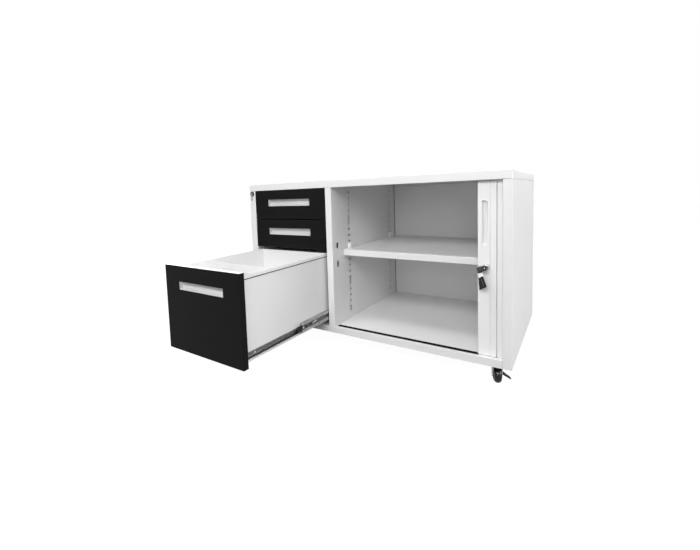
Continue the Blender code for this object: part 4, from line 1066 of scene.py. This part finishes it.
rise = Vector((-side.z, 0.0, side.x))
stem_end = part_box("shutter_lock_plug")[1].y - lock_place.y
head_frame = edge_on(side, rise, lock_place + side * HEAD_SHIFT)
block = extruded(rounded(*HEAD, HEAD_CORNER, HEAD_STEPS), HEAD_DEPTH, head_frame)
stem = turned(rod(STEM_RADIUS, stem_end), lock_place, (0, 1, 0), SOME_SIDES)
plug = round_edges(joined("shutter_lock_plug_made", block, stem), HEAD_EDGE, 5)
stand_in(plug, GUNMETAL_AND_HIGHLIGHT, "shutter_lock_plug")

KEY_LINK = (0.0150, 0.0160)
LINK_CORNER = 0.0030
LINK_SHIFT = 0.0018
LINK_THICKNESS = 0.0022
BOW = ((-0.0074, -0.0165), (-0.0150, -0.0530), (0.0080, -0.0475), (0.0071, -0.0131))
BOW_THICKNESS = 0.0050
BOW_EDGE = 0.0017
RIB = (0.0030, 0.0240)
RIB_PLACE = (0.0006, -0.0320)
RIB_HEIGHT = 0.0008
KNUCKLE = (0.0024, 0.0150)
KNUCKLE_SIDES = 24
PIVOT = (0.0058, 0.0009)
PIVOT_PIN = (0.0022, 0.0014)
PIVOT_PLACE = -0.0008
key_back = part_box("shutter_key")[1].y
key_frame = edge_on(side, rise, (hinge.x, key_back, hinge.z))
bow = round_edges(new_piece("shutter_key_bow", extruded(BOW, BOW_THICKNESS, key_frame)), BOW_EDGE, 4)
stand_in(bow, BLACK_GLOSS, "shutter_key")
# The rib on the black bow is grey: a painted highlight for the light along the bow.
rib_frame = key_frame @ Matrix.Translation((*RIB_PLACE, BOW_THICKNESS - RIB_HEIGHT / 2))
rib = extruded(rounded(*RIB, RIB[0] * FULL_ROUND), RIB_HEIGHT, rib_frame)
rib = round_edges(new_piece("shutter_key_rib", rib), HAIR_EDGE)
hang(rib, GUNMETAL_AND_HIGHLIGHT, "shutter_key", SLOT_OF["shutter_key"])
link_place = (LINK_SHIFT, -KEY_LINK[1] / 2, (BOW_THICKNESS - LINK_THICKNESS) / 2)
link_frame = key_frame @ Matrix.Translation(link_place)
shank = new_piece("shutter_key_link", extruded(rounded(*KEY_LINK, LINK_CORNER), LINK_THICKNESS, link_frame))
shank = round_edges(shank, SHEET_EDGE)
hang(shank, NICKEL, "shutter_key", "chromed_lock")
head_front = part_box("shutter_lock_plug")[0].y
pivot_place = lock_place + side * PIVOT_PLACE
pivot_place.y = head_front
disc = turned(rod(*PIVOT), pivot_place, (0, -1, 0), SOME_SIDES)
knuckle = turned(rod(*KNUCKLE), hinge - side * KNUCKLE[1] / 3, side, KNUCKLE_SIDES)
caps = round_edges(joined("shutter_lock_caps", disc, knuckle), FINE_EDGE)
hang(caps, BLACK_GLOSS, BODY_OF["shutter_lock_plug"], SLOT_OF["shutter_lock_plug"])
pin = new_piece("shutter_lock_pin", turned(dome(*PIVOT_PIN), pivot_place, (0, -1, 0), RIVET_SIDES))
hang(pin, NICKEL, BODY_OF["shutter_lock_plug"], SLOT_OF["shutter_lock_plug"])
print("shutter lock made")

# %% Drawer lock
for node in ("drawer_lock_housing", "drawer_lock_plug"):
    dress(node, SOFT_EDGE, 3, BLACK_GLOSS)
for node in ("drawer_key", "drawer_lock_cam", "drawer_lock_bar"):
    dress(node, SHEET_EDGE)

# %% [markdown]
# ## Castors
#
# Twin-sided nylon wheels in pressed forks. A wheel is a lathe shape, so its profile is spun about the
# axle that the working model gives: a dished face, a rounded shoulder and a crowned tread. The forks and
# plates keep their solids' shapes, and bolts are added where the axle ends and where the plates are
# screwed to the base.

# %% Wheels and forks
WHEEL_RADIUS = 0.025
WHEEL_HALF = 0.0115
SHOULDER = 0.0112
HUB = 0.0085
BORE = 0.0043
DISH = 0.0026
RIM = 0.0130
HUB_SLOPE = 0.0006
RIM_SLOPE = 0.0012
WHEEL_SIDES = 72
corners = [f"{end}_{side}" for end in ("front", "rear") for side in ("left", "right")]
shoulder = arc((WHEEL_RADIUS - SHOULDER, WHEEL_HALF - SHOULDER), SHOULDER, 90, 0, WIDE_CURVE)
sunk = WHEEL_HALF - DISH
face = [(BORE, WHEEL_HALF), (HUB, WHEEL_HALF), (HUB + HUB_SLOPE, sunk), (RIM - RIM_SLOPE, sunk),
        (RIM, WHEEL_HALF)] + shoulder
WHEEL = face + [(radius, -along) for radius, along in reversed(face)] + [face[0]]
for label in corners:
    spin = JOINTS[f"castor_spin_{label}"]
    node = f"castor_wheel_{label}"
    wheel = new_piece(f"{node}_made", turned(WHEEL, spin["pos_m"], spin["axis"], WHEEL_SIDES))
    stand_in(round_edges(wheel, FINE_EDGE), BLACK_GLOSS, node)
    dress(f"castor_fork_{label}", PRESSED_EDGE, 3)
    dress(f"castor_plate_{label}", ROLLED_EDGE)
    if label.startswith("front"):
        dress(f"castor_brake_lever_{label}", SOFT_EDGE, 3)

# %% [markdown]
# Every axle ends in a bolt head at its free side. The plates' screws and the rivets down the back's
# flanges are one shape on many points each.

# %% Bolts, screws and rivets
FORK_FACE = 0.0143
BOLT_RADIUS = 0.0052
BOLT_HEIGHT = 0.0024
BOLT_SUNK = 0.0004
HEX_SIDES = 6
PLATE_SCREW = (0.0042, 0.0026)
SCREW_INSET = 0.0085
PLATE_SHEET = 0.0025
BACK_RIVET = (0.0034, 0.0011)
RIVET_STEP = 0.095
RIVET_COUNT = 6
FIRST_RIVET = 0.105
FLANGE_MIDDLE = 0.0075
screw_places = []
for label in corners:
    spin = JOINTS[f"castor_spin_{label}"]
    away = -Vector(spin["axis"])
    free_end = Vector(spin["pos_m"]) + away * FORK_FACE
    bolt = turned(rod(BOLT_RADIUS, BOLT_HEIGHT + BOLT_SUNK), free_end - away * BOLT_SUNK, away, HEX_SIDES)
    hang(round_edges(new_piece(f"castor_axle_bolt_{label}", bolt), FINE_EDGE), ZINC, f"castor_{label}",
         SLOT_OF[f"castor_fork_{label}"])
    low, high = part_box(f"castor_plate_{label}")
    screw_places += [(x, y, high.z - PLATE_SHEET) for x in (low.x + SCREW_INSET, high.x - SCREW_INSET)
                     for y in (low.y + SCREW_INSET, high.y - SCREW_INSET)]
screw = new_piece("screw", turned(dome(*PLATE_SCREW), (0, 0, 0), (0, 0, -1), FEW_SIDES))
hang(run_tree(POINT_TREE, "castor_plate_screws", screw_places, screw, ZINC), ZINC, "cabinet",
     SLOT_OF["castor_plate_front_left"])
panel_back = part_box("left_side_panel")[1].y
flanges = (cad_low.x + FLANGE_MIDDLE, cad_high.x - FLANGE_MIDDLE)
rivet_rows = [FIRST_RIVET + RIVET_STEP * row for row in range(RIVET_COUNT)]
rivet_places = [(x, panel_back, height) for x in flanges for height in rivet_rows]
rivet = new_piece("rivet", turned(dome(*BACK_RIVET), (0, 0, 0), (0, 1, 0), FEW_SIDES))
hang(run_tree(POINT_TREE, "back_rivets", rivet_places, rivet, WHITE_COAT), WHITE_COAT, "cabinet",
     SLOT_OF["back_panel"])
print("castors", len(corners), "screws", len(screw_places), "rivets", len(rivet_places))

# %% [markdown]
# ## Floor and light
#
# A product photograph of white furniture stands on a page that is blown out to pure white, but the
# furniture itself is lit by soft boxes: a strip and a box above the camera, a low one and a small one
# beside it, a steep one over the front, two at the right, one at the left and one behind. So the room and
# the floor are white to the camera's eye, pale in what shiny metal reflects, and throw little light of
# their own. Close to the cabinet the floor keeps a trace of shadow.

# %% Floor
FLOOR_SIZE = 30.0
ROOM_LIGHT = 0.03
ROOM_SHINE = 0.55
SHADOW_FROM = 0.8
SHADOW_TO = 2.2
SHADOW_GLOW = 0.97
FLOOR_GREY = 0.12
FLOOR_ROUGHNESS = 0.9
PAGE_WHITE = (1.0, 1.0, 1.0, 1.0)


def seen_share(tree):
    """How white the room is: wholly to the camera's eye, in part to what shiny metal reflects."""
    seen = add_node(tree, "ShaderNodeLightPath").outputs
    shine = add_node(tree, "ShaderNodeMath", {0: seen["Is Glossy Ray"], 1: ROOM_SHINE}, operation="MULTIPLY")
    share = add_node(tree, "ShaderNodeMath", {0: seen["Is Camera Ray"], 1: shine.outputs["Value"]},
                     operation="MAXIMUM")
    return share.outputs["Value"]


floor_mesh = bpy.data.meshes.new("studio_floor")
bm = bmesh.new()
bmesh.ops.create_grid(bm, x_segments=1, y_segments=1, size=FLOOR_SIZE / 2)
bm.to_mesh(floor_mesh)
bm.free()
floor = put_in_scene("studio_floor", floor_mesh)
floor_paint, tree, shader, place = start_material(
    "pale_floor", Base_Color=(FLOOR_GREY, FLOOR_GREY, FLOOR_GREY, 1.0), Roughness=FLOOR_ROUGHNESS,
    Specular_IOR_Level=0.0, Emission_Color=PAGE_WHITE)
away = add_node(tree, "ShaderNodeVectorMath", {0: place}, operation="LENGTH")
glow = add_node(tree, "ShaderNodeMapRange", {"Value": away.outputs["Value"], "From Min": SHADOW_FROM,
                                             "From Max": SHADOW_TO, "To Min": SHADOW_GLOW, "To Max": 1.0})
lit = add_node(tree, "ShaderNodeMath", {0: glow.outputs["Result"], 1: seen_share(tree)}, operation="MULTIPLY")
link(tree, lit.outputs["Value"], shader, "Emission Strength")
floor_mesh.materials.append(floor_paint)

# %% Light
world = bpy.data.worlds.new("studio")
world.use_nodes = True
page = world.node_tree.nodes["Background"]
page.inputs["Color"].default_value = PAGE_WHITE
strength = add_node(world.node_tree, "ShaderNodeMapRange", {"Value": seen_share(world.node_tree),
                                                            "To Min": ROOM_LIGHT, "To Max": 1.0})
link(world.node_tree, strength.outputs["Result"], page, "Strength")
SCENE.world = world
MIDDLE = (cad_low + cad_high) / 2
SOFT_BOXES = {"strip_box": ((-0.3, -2.5, 2.1), (2.4, 0.7), 26.0),
              "camera_box": ((0.7, -2.5, 2.05), (1.6, 0.6), 27.0),
              "low_box": ((0.3, -2.8, 0.8), (1.6, 1.0), 8.5), "lens_box": ((0.9, -1.7, 1.1), (0.5, 0.5), 4.0),
              "right_box": ((3.0, -1.6, 1.9), (2.0, 2.0), 18.0),
              "far_right_box": ((3.2, 0.4, 1.6), (2.0, 2.0), 68.0),
              "ceiling_box": ((-0.30, -0.82, 2.97), (0.80, 0.60), 24.0),
              "back_box": ((0.2, 3.2, 1.7), (2.4, 1.6), 75.0),
              "left_box": ((-3.2, 0.8, 1.5), (2.0, 2.0), 75.0)}
for name, (place, size, power) in SOFT_BOXES.items():
    data = bpy.data.lights.new(name, "AREA")
    data.shape = "RECTANGLE"
    data.size, data.size_y = size
    data.energy = power
    lamp = bpy.data.objects.new(name, data)
    SCENE.collection.objects.link(lamp)
    lamp.location = place
    lamp.rotation_euler = (MIDDLE - Vector(place)).to_track_quat("-Z", "Y").to_euler()
SCENE.view_settings.view_transform = "Standard"
print("soft boxes", len(SOFT_BOXES))
